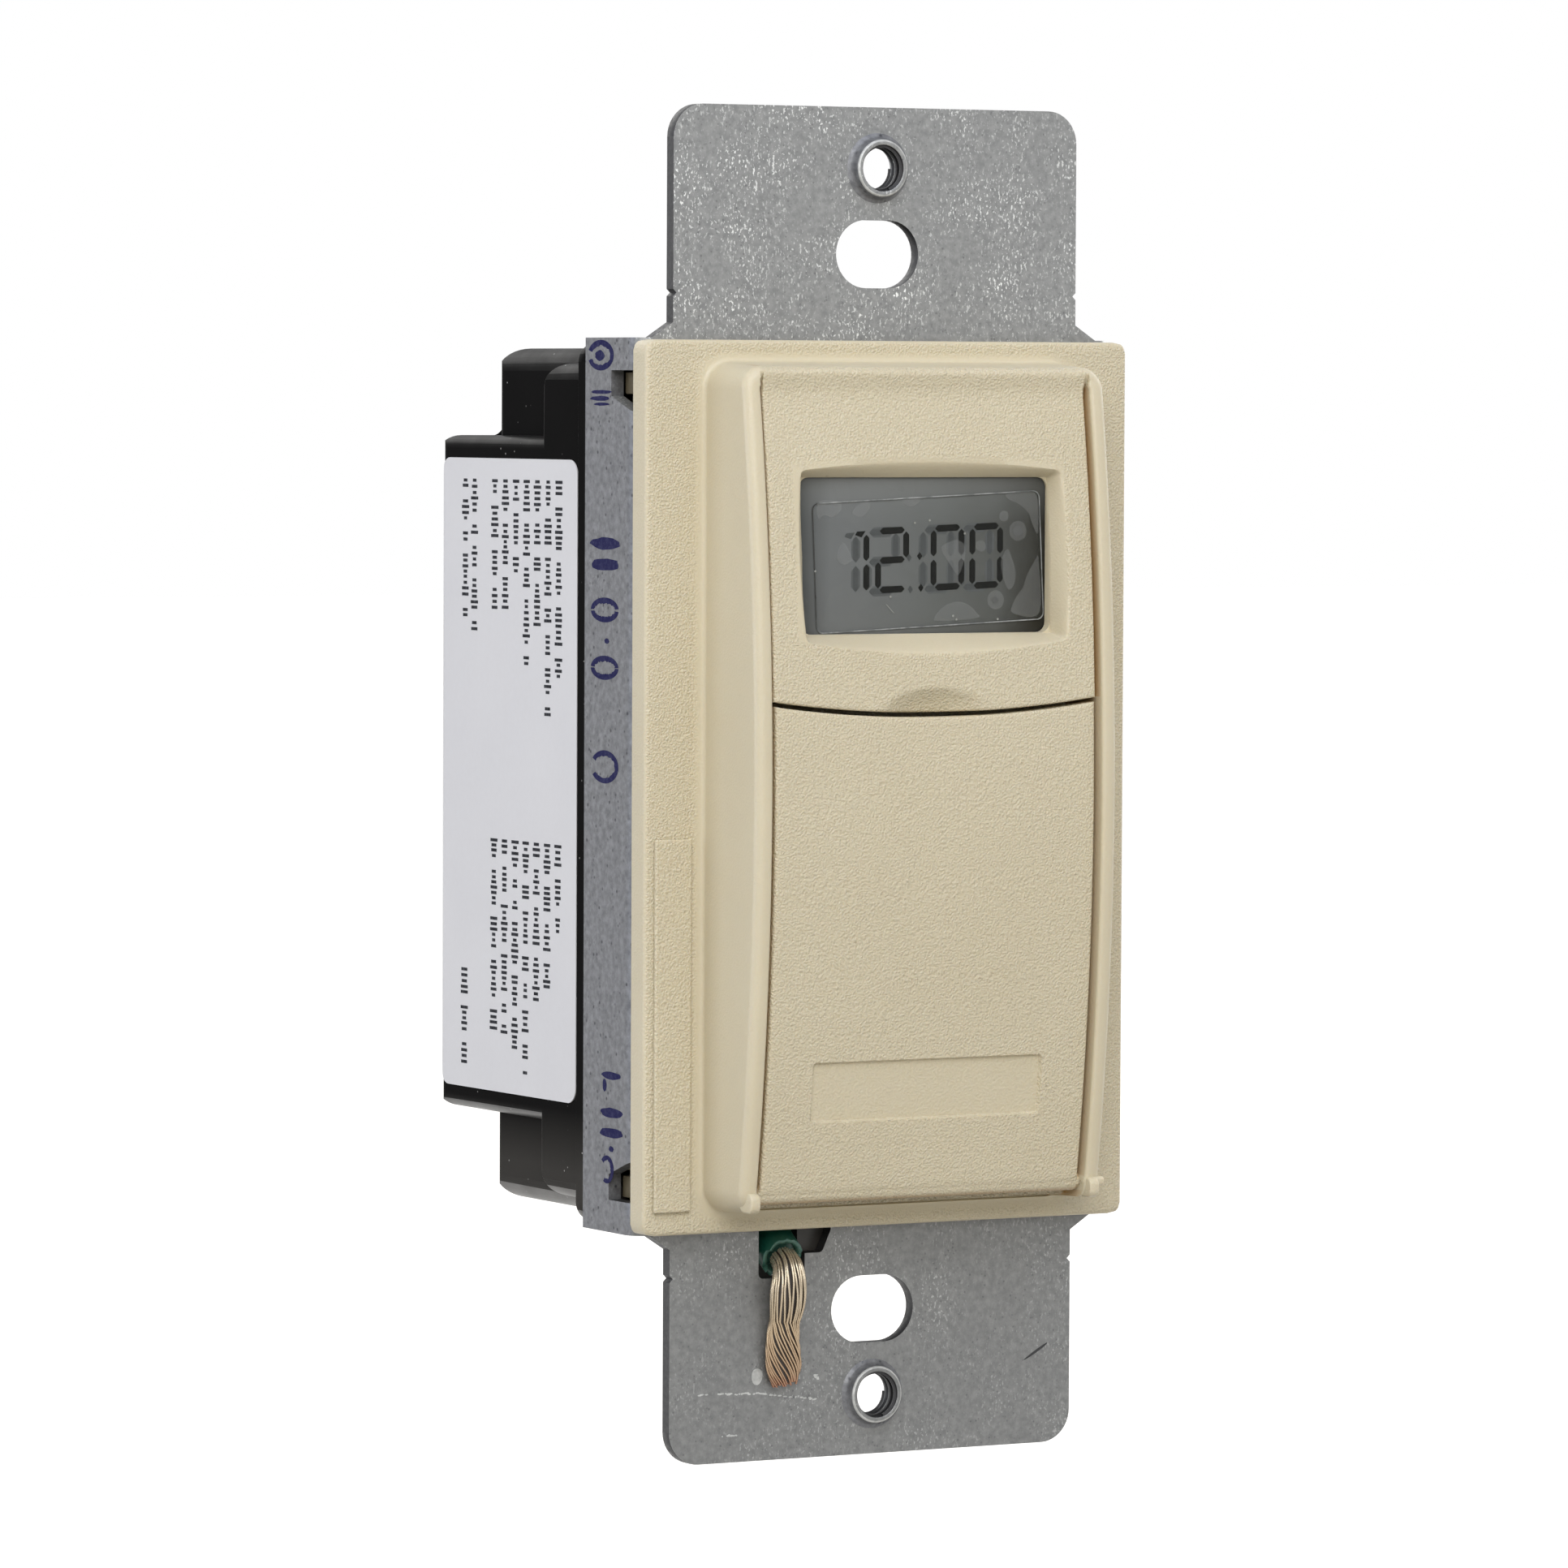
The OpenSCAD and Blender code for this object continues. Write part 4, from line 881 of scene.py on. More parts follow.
def snap_hook(side, end):
    """Hook on the flange's rear, with a barb behind the strap."""
    outline = [(19.0, -1.4), (20.2, -1.4), (20.2, 3.1), (19.9, 3.4), (19.0, 3.4), (18.5, 0.9), (18.5, 0.1), (19.0, 0.1)]
    return eased(prism("hook", [(side * u, v) for u, v in outline], *sorted((end * 30.6, end * 32.3)), "z"), 0.1, 2)


def door_grain(x, y, z):
    on_plate = abs(x) < PLATE_X - 0.1 and PLATE_LOW + 0.1 < z < PLATE_HIGH - 0.1
    return PLATE_GRAIN if on_plate else FACE_GRAIN


def door_gap(x, y, z):
    """Strength of the painted brown shade: how deep a place lies on the door's side edges."""
    return min(max((y - base_at(z)) / 0.4 - 0.5, 0), 0.4) if abs(x) > DOOR_X - 0.35 else 0.0


def make_door():
    half = list(np.arange(0, 9.9, 1.1)) + [PLATE_X + k for k in (-0.14, -0.1, -0.05, 0.0, 0.06, 0.12, 0.2)]
    xs = mirrored(half + [11.2, 12.4, 13.4] + edge_lines(DOOR_X, DOOR_EDGE, 5))
    top = seam_at(xs) - SEAM_GAP
    rows = [DOOR_LOW + DOOR_ROLL - DOOR_ROLL * math.sin(math.pi / 2 * i / 9) for i in range(9, -1, -1)]
    rows += list(np.arange(-30.6, -26.4, 0.9))
    rows += [PLATE_LOW + k for k in (-0.2, -0.12, -0.06, 0.0, 0.05, 0.1, 0.14)] + [-24.7, -23.5, -22.4]
    rows += [PLATE_HIGH - k for k in (0.14, 0.1, 0.05, 0.0, -0.06, -0.12, -0.2)] + list(np.arange(-20, 4, 1.5))
    rows = [np.full_like(xs, v) for v in rows]
    rows += [top - SMALL_EDGE - 0.7, top - SMALL_EDGE - 0.3]
    rows += [top - SMALL_EDGE * (1 - math.sin(math.pi / 2 * i / 5)) for i in range(6)]
    z = np.array(rows)
    x = np.tile(xs, (len(z), 1))

    # The lower corners are round, and both sides draw in a little towards their edges.
    px, pz = np.abs(x) - (DOOR_X - DOOR_CORNER), (DOOR_LOW + DOOR_CORNER) - z
    both = (px > 0) & (pz > 0)
    k = np.where(both, np.maximum(px, pz) / np.maximum(np.hypot(px, pz), 1e-9), 1)
    side = np.where(both, DOOR_CORNER - np.maximum(px, pz), DOOR_X - np.abs(x))
    x2 = np.where(both, np.sign(x) * (DOOR_X - DOOR_CORNER + px * k), x)
    z2 = np.where(both, DOOR_LOW + DOOR_CORNER - pz * k, z)
    drawn_in = np.clip(np.abs(x2) - DOOR_TAPER_X, 0, DOOR_X - DOOR_TAPER_X)
    x2 = x2 - np.sign(x2) * drawn_in * np.where(x2 < 0, TAPER_LEFT, TAPER_RIGHT)

    base = base_at(z)
    sunk = rounded_inside(x, z - (PLATE_LOW + PLATE_HIGH) / 2, PLATE_X + PLATE_MARGIN,
                          (PLATE_HIGH - PLATE_LOW) / 2 + PLATE_MARGIN, 0.4)
    sink = PLATE_DEPTH * np.clip(sunk / PLATE_SLOPE, 0, 1)
    fall = np.maximum(np.maximum(edge_drop(side, DOOR_EDGE), edge_drop(z - DOOR_LOW, DOOR_ROLL)),
                      edge_drop(top[None, :] - z, SMALL_EDGE))
    front = np.stack([x2, base + fall + sink, z2], -1)
    back = np.stack([x2, base + DOOR_T, z2], -1)
    door = settle(slab("door_cover", front, back))
    hinge = (HINGE_Y, HINGE_Z)
    barrel = rod("barrel", hinge, 0.8, -DOOR_X + 0.1, DOOR_X - 0.1)
    pin = rod("pin", hinge, 0.45, -15.85, 15.85)
    shoulder = eased(rod("shoulder", hinge, 0.7, -RAIL_X + 0.06, RAIL_X - 0.06), 0.15)
    solid = [v.co / MM for v in NODES["door"].data.vertices]
    tip = max(v.y for v in solid if abs(v.x) < 2 and abs(v.z - NUB_Z) < 2)
    nub = eased(rod("nub", (0, NUB_Z), NUB_R, base_at(NUB_Z) + DOOR_T - 0.4, tip, "y"), 0.25)
    settle(cut(door, barrel, shoulder, pin, nub, operation="UNION"))
    grade(door, "grain", door_grain)
    grade(door, "gap", door_gap)
    place(door, IVORY, "door", "door", "door")


def make_drawer():
    drawer = softened("battery_drawer", "battery_drawer_front", 0.13, 3)
    grade(drawer, "grain", FACE_GRAIN)
    place(drawer, IVORY, "drawer", "bezel", "battery_drawer")


def make_buttons():
    for name, _, _ in BUTTONS:
        button = softened(name, name + "_cap", 0.22, 3)
        grade(button, "grain", CAP_GRAIN)
        place(button, IVORY, name, "buttons", name)


def from_screw(middle):
    """Distance of a place from the nearer plate-screw hole's axis."""
    return math.hypot(middle.x, abs(middle.z) - SCREW_Z)


def strap_finish(normal, middle):
    # Faces turned sideways and faces deep in the notches take the darker side steel, whose darker tone is painted
    # shade.
    in_notch = abs(middle.x) > 20 and 28 < abs(middle.z) < 34.5 and middle.y > 0 and normal.y < -0.3
    if abs(middle.x) > 21.3 and abs(normal.x) > 0.6 or in_notch:
        return SHADED_SIDE_STEEL
    if abs(normal.y) < 0.3 and from_screw(middle) >= COLLAR_FOOT_R:
        return SHEARED
    return RUBBED_AND_HIGHLIGHT if 0.3 <= abs(normal.y) < 0.97 and abs(middle.x) < 19.5 else STEEL


def make_strap():
    strap = softened("mounting_strap", "strap_sheet", 0.1)
    cut(strap, *(rod("collar_cut", (0, end * SCREW_Z), 2.6, -2.6, -1.09, "y", 48) for end in (-1, 1)))
    place(strap, STEEL, "base", "strap", "mounting_strap")
    paint(strap, (SHADED_SIDE_STEEL, SHEARED, RUBBED_AND_HIGHLIGHT), strap_finish)


def thread_tree():
    """Screw thread as a spiral ridge, from its radius, pitch, number of turns and ridge size."""
    tree, given, out = node_tree("thread", Radius=0.00174, Pitch=0.0006, Turns=3.2, Ridge=0.00014)
    spiral = tree.nodes.new("GeometryNodeCurveSpiral")
    spiral.inputs["Resolution"].default_value = 40
    rise = tree.nodes.new("ShaderNodeMath")
    rise.operation = "MULTIPLY"
    ridge = tree.nodes.new("GeometryNodeCurvePrimitiveCircle")
    ridge.inputs["Resolution"].default_value = 4
    swept = tree.nodes.new("GeometryNodeCurveToMesh")
    swept.inputs["Fill Caps"].default_value = True
    size = given.outputs
    wired(tree, (size["Turns"], spiral.inputs["Rotations"]), (size["Radius"], spiral.inputs["Start Radius"]),
          (size["Radius"], spiral.inputs["End Radius"]), (size["Pitch"], rise.inputs[0]),
          (size["Turns"], rise.inputs[1]), (rise.outputs[0], spiral.inputs["Height"]),
          (size["Ridge"], ridge.inputs["Radius"]), (spiral.outputs["Curve"], swept.inputs["Curve"]),
          (ridge.outputs["Curve"], swept.inputs["Profile Curve"]))
    return tree_end(tree, swept.outputs["Mesh"], out, SHEARED)


def make_threads():
    tree = thread_tree()
    parts = []
    for end in (-1, 1):
        turns = grown(mesh_object("thread", [(0, 0, 0)], []), tree)
        spot = Matrix.Translation((0, 0.05 * MM, end * SCREW_Z * MM))
        turns.data.transform(spot @ Matrix.Rotation(math.radians(90), 4, "X"))
        parts.append(turns)
    place(gathered("screw_threads", parts), SHEARED, "base", "strap")


def collar_finish(normal, middle):
    radius = from_screw(middle)
    if radius < COLLAR_BORE_R:
        return SHEARED
    # Painted highlight and shade: the thin ring at the rim's edge takes the brighter zinc, the outer wall the darker
    # side steel.
    return SHADED_SIDE_STEEL if radius > 2.24 else RUBBED_AND_HIGHLIGHT if radius > 2.12 else STEEL


def make_collars():
    """Drawn collars round the two plate-screw holes, turned from a section of radius and depth."""
    section = ((2.8, -1.06), (2.74, -1.12), (2.55, -1.2), (2.4, -1.38), (2.31, -1.66), (2.26, -1.9), (2.2, -2.0),
               (2.1, -2.04), (1.94, -2.04), (1.84, -2.01), (1.8, -1.94), (1.8, -1.06))
    sides, n = 64, len(section)
    points, faces = [], []
    for end in (-1, 1):
        first = len(points)
        for i in range(sides):
            turn = 2 * math.pi * i / sides
            points += [(r * math.cos(turn), y, end * SCREW_Z + r * math.sin(turn)) for r, y in section]
            a, b = first + i * n, first + (i + 1) % sides * n
            faces += [(a + k, b + k, b + (k + 1) % n, a + (k + 1) % n) for k in range(n)]
    collars = settle(mesh_object("screw_collars", points, faces), 50)
    place(collars, STEEL, "base", "strap")
    paint(collars, (SHADED_SIDE_STEEL, RUBBED_AND_HIGHLIGHT, SHEARED), collar_finish)


def fleck_tree():
    """Small flat chips on points, from their size and the range of their lengths."""
    tree, given, out = node_tree("flecks", Size=0.00011, Flat=0.1, Shortest=0.5, Longest=2.2, Seed=4)
    chip = tree.nodes.new("GeometryNodeMeshIcoSphere")
    chip.inputs["Subdivisions"].default_value = 2
    vary = tree.nodes.new("FunctionNodeRandomValue")
    vary.data_type = "FLOAT"
    stretch = tree.nodes.new("ShaderNodeCombineXYZ")
    stretch.inputs["Z"].default_value = 0.6
    spread = tree.nodes.new("GeometryNodeInstanceOnPoints")
    size = given.outputs
    wired(tree, (size["Size"], chip.inputs["Radius"]), (size["Shortest"], vary.inputs[2]),
          (size["Longest"], vary.inputs[3]), (size["Seed"], vary.inputs["Seed"]),
          (vary.outputs[1], stretch.inputs["X"]), (size["Flat"], stretch.inputs["Y"]),
          (size["Geometry"], spread.inputs["Points"]), (chip.outputs["Mesh"], spread.inputs["Instance"]),
          (stretch.outputs[0], spread.inputs["Scale"]))
    return tree_end(tree, spread.outputs[0], out, RUBBED_AND_HIGHLIGHT)


SCRATCHES = (((-15.68, -47.75), (-10.43, -47.87), 26), ((-10.43, -47.87), (-8.16, -48.16), 12),
             ((-8.16, -48.16), (-5.0, -48.61), 14), ((-13.85, -51.08), (-11.67, -51.07), 8),
             ((-5.26, -46.5), (-4.88, -47.06), 7))
SPLASH = ((-10.9, -46.6), (-10.7, -47.1), (-10.3, -47.18), (-9.98, -46.8), (-9.95, -46.2), (-10.3, -45.92),
          (-10.75, -46.05))
SCUFF = ((16.16, -45.2), (15.3, -45.62), (14.2, -46.32), (14.05, -46.5), (14.9, -46.1), (15.9, -45.5))


def make_scratches():
    """Wear on the lower ear: a broken scratch, weld spatter and a scuff."""
    draw = random.Random(17)
    spots = []
    for (x0, z0), (x1, z1), count in SCRATCHES:
        for _ in range(count):
            t = draw.random()
            spots.append((x0 + (x1 - x0) * t, SHEET_FRONT, z0 + (z1 - z0) * t + draw.uniform(-0.06, 0.06)))
    flecks = grown(mesh_object("scratch_flecks", spots, []), fleck_tree())
    place(settle(flecks), RUBBED_AND_HIGHLIGHT, "base", "strap")
    splash = thin_plate(smooth_loop(SPLASH), -1.125, 0.03)
    place(settle(joined("weld_splash", [splash])), RUBBED_AND_HIGHLIGHT, "base", "strap")
    scuff = thin_plate(smooth_loop(SCUFF), -1.112, 0.02)
    place(settle(joined("scuff", [scuff])), SHEARED, "base", "strap")


def ink_arc(centre, half, start, end, draw, width=0.62):
    """Ragged band along part of an ellipse."""
    outer, inner = [], []
    for i in range(29):
        a = math.radians(start + (end - start) * i / 28)
        w = width * draw.uniform(0.8, 1.1)
        outer.append((centre[0] + half[0] * math.cos(a), centre[1] + half[1] * math.sin(a)))
        inner.append((centre[0] + (half[0] - w) * math.cos(a),
                      centre[1] + max(half[1] - w * 0.75, 0.12) * math.sin(a)))
    return outer + inner[::-1]


def ink_blot(centre, half, draw):
    """Ragged oval spot."""
    turns = [2 * math.pi * i / 18 for i in range(18)]
    return [(centre[0] + half[0] * draw.uniform(0.85, 1.08) * math.cos(a),
             centre[1] + half[1] * draw.uniform(0.85, 1.08) * math.sin(a)) for a in turns]


def make_stamps():
    """Plain rings, bars and dots of ink on the strap's left side."""
    draw = random.Random(5)
    marks = [ink_arc((4.75, 33.62), (2.15, 1.2), 20, 340, draw), ink_blot((4.9, 33.6), (0.8, 0.42), draw),
             ink_blot((4.7, 30.75), (1.75, 0.16), draw), ink_blot((4.9, 30.25), (1.6, 0.2), draw),
             ink_blot((4.6, 29.8), (1.3, 0.13), draw), ink_blot((3.9, 18.9), (2.5, 0.5), draw),
             ink_blot((3.9, 17.3), (2.5, 0.5), draw), ink_arc((3.95, 13.75), (2.3, 0.95), 0, 175, draw),
             ink_arc((3.95, 13.7), (2.3, 0.95), 185, 355, draw), ink_blot((3.6, 11.3), (0.4, 0.22), draw),
             ink_arc((3.95, 9.2), (2.3, 0.95), 5, 178, draw), ink_arc((3.95, 9.2), (2.3, 0.95), 182, 358, draw),
             ink_arc((3.9, 1.45), (2.3, 1.3), 30, 330, draw), ink_blot((2.6, -22.7), (1.6, 0.34), draw),
             ink_blot((3.7, -23.5), (0.35, 0.5), draw), ink_blot((2.5, -25.6), (2.0, 0.42), draw),
             ink_blot((2.5, -27.2), (2.0, 0.42), draw), ink_blot((2.55, -28.45), (0.4, 0.24), draw),
             ink_arc((3.3, -30.1), (1.15, 1.1), 40, 300, draw, 0.5)]
    stamps = settle(joined("ink_marks", [prism_parts(m, INK_X, INK_X - 0.02, "x") for m in marks]), 40)
    place(stamps, STAMP_INK, "base", "strap")


def housing_finish(normal, middle):
    return BLACK_SIDE if abs(normal.x) > 0.93 else BLACK_TOP if normal.z > 0.3 else BLACK


def make_housing():
    housing = softened("rear_housing", "rear_housing_moulding", 0.12)
    place(housing, BLACK, "base", "housing", "rear_housing")
    paint(housing, (BLACK_SIDE, BLACK_TOP), housing_finish)
    for face in housing.data.polygons:
        if max(abs(part) for part in face.normal) < 0.998:
            face.use_smooth = True
    shield = eased(block("wire_shield", (-7.0, 2.9, -40.0), (-1.5, 4.6, -35.2)), 0.2)
    place(settle(shield), BLACK_SIDE, "base", "housing")


def label_place(run, z, lift):
    """A place on the label by its distance behind the front edge; the last bit goes round the box's edge."""
    over = np.maximum(run - (LABEL_TURN - LABEL_LOW), 0) / LABEL_WRAP
    r = LABEL_WRAP + lift
    x = np.where(over > 0, LABEL_X + LABEL_WRAP - r * np.cos(over), LABEL_X - lift)
    y = np.where(over > 0, LABEL_TURN + r * np.sin(over), LABEL_LOW + run)
    return np.stack([x, y, z], -1)


def make_label():
    length = LABEL_TURN - LABEL_LOW + LABEL_OVER
    run = np.concatenate([np.linspace(0, LABEL_CORNER, 10), np.linspace(2, length - 2.7, 12),
                          np.linspace(length - 2.5, length, 18)])
    z = np.concatenate([np.linspace(-LABEL_Z, -LABEL_Z + LABEL_CORNER, 10), np.linspace(-23, 23, 16),
                        np.linspace(LABEL_Z - LABEL_CORNER, LABEL_Z, 10)])
    u, v = np.meshgrid(run - length / 2, z, indexing="ij")
    u, v = corner_turned(u, v, length / 2, LABEL_Z, LABEL_CORNER)
    u = u + length / 2
    label = settle(slab("rating_label_paper", label_place(u, v, LABEL_T), label_place(u, v, 0.0)), 40)
    place(label, PAPER, "base", "label", "rating_label")
    make_label_print()


def tick_tree():
    """Small upright bars on points, from their size and the shortest share of their height."""
    tree, given, out = node_tree("ticks", Thickness=0.00002, Height=0.00128, Width=0.00025, Shortest=0.4, Seed=3)
    bar = tree.nodes.new("GeometryNodeMeshCube")
    whole_size = tree.nodes.new("ShaderNodeCombineXYZ")
    vary = tree.nodes.new("FunctionNodeRandomValue")
    vary.data_type = "FLOAT"
    stretch = tree.nodes.new("ShaderNodeCombineXYZ")
    stretch.inputs["X"].default_value = 1.0
    stretch.inputs["Z"].default_value = 1.0
    spread = tree.nodes.new("GeometryNodeInstanceOnPoints")
    size = given.outputs
    wired(tree, (size["Thickness"], whole_size.inputs["X"]), (size["Height"], whole_size.inputs["Y"]),
          (size["Width"], whole_size.inputs["Z"]), (whole_size.outputs[0], bar.inputs["Size"]),
          (size["Shortest"], vary.inputs[2]), (size["Seed"], vary.inputs["Seed"]),
          (vary.outputs[1], stretch.inputs["Y"]), (size["Geometry"], spread.inputs["Points"]),
          (bar.outputs["Mesh"], spread.inputs["Instance"]), (stretch.outputs[0], spread.inputs["Scale"]))
    return tree_end(tree, spread.outputs[0], out, LABEL_INK)


def make_label_print():
    """Rows of plain ticks on the label, each with its depth, upper end and length."""
    draw = random.Random(21)
    first, step, upper, lower = 11.9, 1.84, 23.6, -5.2
    rows = [(first + step * i, upper, run) for i, run in enumerate((15.7, 19.6, 12.2, 14.8, 7.4, 10.3, 10.3))]
    rows += [(first + step * i, lower, run) for i, run in enumerate((6.8, 11.5, 12.8, 18.4, 17, 16, 16))]
    rows += [(26.5, upper, 12.2), (28.1, upper, 11.1), (28.1, -15.9, 7.8)]
    spots = []
    for y, top, run in rows:
        along = 0.0
        word = draw.randint(2, 6)
        while along < run:
            spots.append((LABEL_X - LABEL_T - 0.005, y, top - along))
            along += draw.uniform(0.4, 0.5)
            word -= 1
            if word == 0:
                along += 0.8
                word = draw.randint(2, 8)
    ticks = grown(mesh_object("label_ticks", spots, []), tick_tree())
    place(ticks, LABEL_INK, "base", "label")


BUBBLES = (((-9.17, 22.19), (-8.13, 22.43), (-7.09, 22.18), (-7.18, 21.52), (-7.84, 21.11), (-8.5, 21.28),
            (-9.07, 21.03)),
           ((-6.04, 21.44), (-5.66, 21.93), (-4.9, 22.26), (-4.43, 22.17), (-4.52, 21.76), (-5.09, 21.18),
            (-5.66, 21.19)),
           ((-1.57, 22.58), (-0.71, 22.71), (0.02, 22.61), (-0.13, 22.16), (-0.8, 21.91), (-1.37, 22.16)),
           ((-7.26, 18.64), (-6.79, 19.13), (-6.31, 18.47), (-6.02, 17.8), (-6.59, 17.44), (-7.16, 17.56),
            (-7.39, 18.06)),
           ((2.0, 18.58), (2.58, 19.08), (3.54, 19.24), (4.12, 18.82), (4.13, 17.91), (3.56, 16.58), (2.88, 17.25)),
           ((1.46, 13.02), (1.84, 13.77), (2.61, 14.26), (3.57, 14.45), (4.54, 14.16), (5.22, 13.57),
            (5.4, 13.2), (3.5, 13.0)),
           ((8.51, 13.54), (8.7, 14.54), (9.47, 15.54), (9.75, 16.37), (10.52, 17.62), (10.85, 17.7), (10.95, 13.5)),
           ((7.96, 22.85), (10.5, 22.95), (10.8, 19.87), (10.31, 20.38), (9.91, 21.38), (8.94, 22.13), (8.16, 22.39)),
           ((7.99, 18.55), (8.48, 17.71), (8.78, 16.54), (8.5, 15.54), (8.01, 15.46), (7.62, 16.39), (7.42, 17.55)))
ROUND_BUBBLES = ((8.95, 19.97, 0.78), (8.95, 19.97, 0.42), (7.68, 21.14, 0.42), (6.95, 14.56, 0.75),
                 (6.95, 14.56, 0.25), (5.57, 18.81, 0.45))
DUST_SPOTS = ((-9.33, 16.92), (4.11, 19.79), (3.09, 13.34), (3.39, 13.06), (7.15, 13.05), (-2.57, 14.88),
              (0.93, 20.83), (-0.41, 20.64))
DIGITS = ((-4.71, 17.5, "bc"), (-2.39, 17.75, "abged"), (2.61, 17.93, "abcdef"), (6.13, 18.04, "abcdef"))


def segment(letter, stroke):
    """Outline of one stroke of a seven-stroke digit."""
    h = stroke / 2
    level = {"a": DIGIT_Z, "g": 0.0, "d": -DIGIT_Z}
    if letter in level:
        z, w = level[letter], DIGIT_X - STROKE_GAP
        return [(-w, z), (-w + h, z + h), (w - h, z + h), (w, z), (w - h, z - h), (-w + h, z - h)]
    x = DIGIT_X if letter in "bc" else -DIGIT_X
    low, high = (STROKE_GAP, DIGIT_Z - STROKE_GAP) if letter in "bf" else (-DIGIT_Z + STROKE_GAP, -STROKE_GAP)
    return [(x, low), (x + h, low + h), (x + h, high - h), (x, high), (x - h, high - h), (x - h, low + h)]


def digit_outlines(stroke):
    """Strokes of the shown time, each leaning with the glass."""
    out = []
    for cx, cz, strokes in DIGITS:
        shift = -DIGIT_X if strokes == "bc" else 0.0
        for letter in strokes:
            out.append([(cx + shift + u, cz + v + DIGIT_LEAN * u) for u, v in segment(letter, stroke)])
    serif = [(-5.72, 19.7), (-5.55, 19.98), (-4.8, 20.02), (-5.15, 19.52)]
    colon = [[(x, z + 0.32), (x + 0.24, z), (x, z - 0.32), (x - 0.24, z)] for x, z in ((0.09, 18.04), (0.21, 15.56))]
    return out + [serif] + colon


def make_display():
    low, high = (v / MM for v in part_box("display_glass"))
    glass = settle(eased(block("display_cell", low, high), 0.12, 2))
    place(glass, GLASS, "base", "glass", "display_glass")
    front = low[1]
    # Painted shadows of the digits, offset down and to the left.
    for name, finish, stroke, lift in (("digit_shade_rims", PAINTED_DIGIT_SHADOW_RIM, 0.8, 0.006),
                                       ("digit_shades", PAINTED_DIGIT_SHADOW, 0.46, 0.012)):
        outlines = [[(u - SHADE_X, v - SHADE_Z) for u, v in outline] for outline in digit_outlines(stroke)]
        shade = [thin_plate(outline, front - lift, lift + 0.01) for outline in outlines]
        place(settle(joined(name, shade)), finish, "base", "glass")
    dark = [thin_plate(outline, front - 0.02, 0.03) for outline in digit_outlines(0.52)]
    place(settle(joined("digit_strokes", dark)), SEGMENT_INK, "base", "glass")
    make_film(front)


def film_outline(size, corner):
    """Outline of the film or of its rim, turned to where it lies askew."""
    c, t = math.cos(math.radians(FILM_TURN)), math.sin(math.radians(FILM_TURN))
    return [(FILM_X + u * c - v * t, FILM_Z + u * t + v * c) for u, v in rounded_rectangle((0, 0), size, corner)]


def make_film(glass_front):
    front = glass_front - 0.1
    outer = film_outline((20.6, 10.2), 0.6)
    inner = film_outline((20.42, 10.02), 0.52)
    film = settle(joined("display_film_sheet", [thin_plate(outer, front, 0.07)]))
    place(film, FILM, "base", "film", "display_film")
    n = len(outer)
    points = [(u, y, v) for y in (front - 0.015, front + 0.004) for ring in (outer, inner) for u, v in ring]
    faces = []
    for i in range(n):
        k = (i + 1) % n
        faces += [(i, k, n + k, n + i), (2 * n + i, 3 * n + i, 3 * n + k, 2 * n + k),
                  (i, 2 * n + i, 2 * n + k, k), (n + i, n + k, 3 * n + k, 3 * n + i)]
    # The rim carries the film edge's painted highlight and painted shade.
    place(settle(joined("display_film_rim", [(points, faces)])), FILM_EDGE_LIGHT_AND_SHADE, "base", "film")
    loops = [smooth_loop(b) for b in BUBBLES]
    loops += [rounded_rectangle((x, z), (2 * r, 2 * r), r, 8) for x, z, r in ROUND_BUBBLES]
    veil = [thin_plate(loop, front - 0.012 - 0.003 * (k % 3), 0.01) for k, loop in enumerate(loops)]
    place(settle(joined("display_film_bubbles", veil)), VEIL, "base", "film")
    dust = [rounded_rectangle(spot, (0.18, 0.18), 0.09, 3) for spot in DUST_SPOTS]
    dust.append([(-2.94, 14.31), (-2.26, 13.63), (-2.31, 13.61), (-2.97, 14.27)])
    flakes = [thin_plate(outline, front - 0.02, 0.012) for outline in dust]
    place(settle(joined("display_film_dust", flakes)), DUST, "base", "film")


LEAD_ROUTE = ((-8.1, 7.1, -29), (-8.1, 6, -29), (-8.1, 4.9, -29.9), (-8.1, 4, -31.4), (-8.1, 3.2, -33),
              (-8.1, 2.2, -34.5), (-8.1, 1, -35.9), (-8.1, -0.2, -36.8), (-8.1, -0.9, -37.25))
STRAND_ROUTE = ((-8.1, -1, -37.3, 1.2, 1.05), (-8.15, -1.85, -37.8, 1.32, 1.05), (-8.25, -2.3, -38.7, 1.5, 1.05),
                (-8.35, -2.4, -39.6, 1.64, 1.1), (-8.42, -2.4, -40.6, 1.64, 1.05), (-8.45, -2.2, -41.6, 1.52, 0.92),
                (-8.47, -2, -42.3, 1.42, 0.78), (-8.5, -1.85, -43.2, 1.52, 0.65), (-8.45, -1.75, -44.5, 1.64, 0.55),
                (-8.32, -1.7, -46, 1.62, 0.5), (-8.2, -1.6, -47.3, 1.15, 0.4))


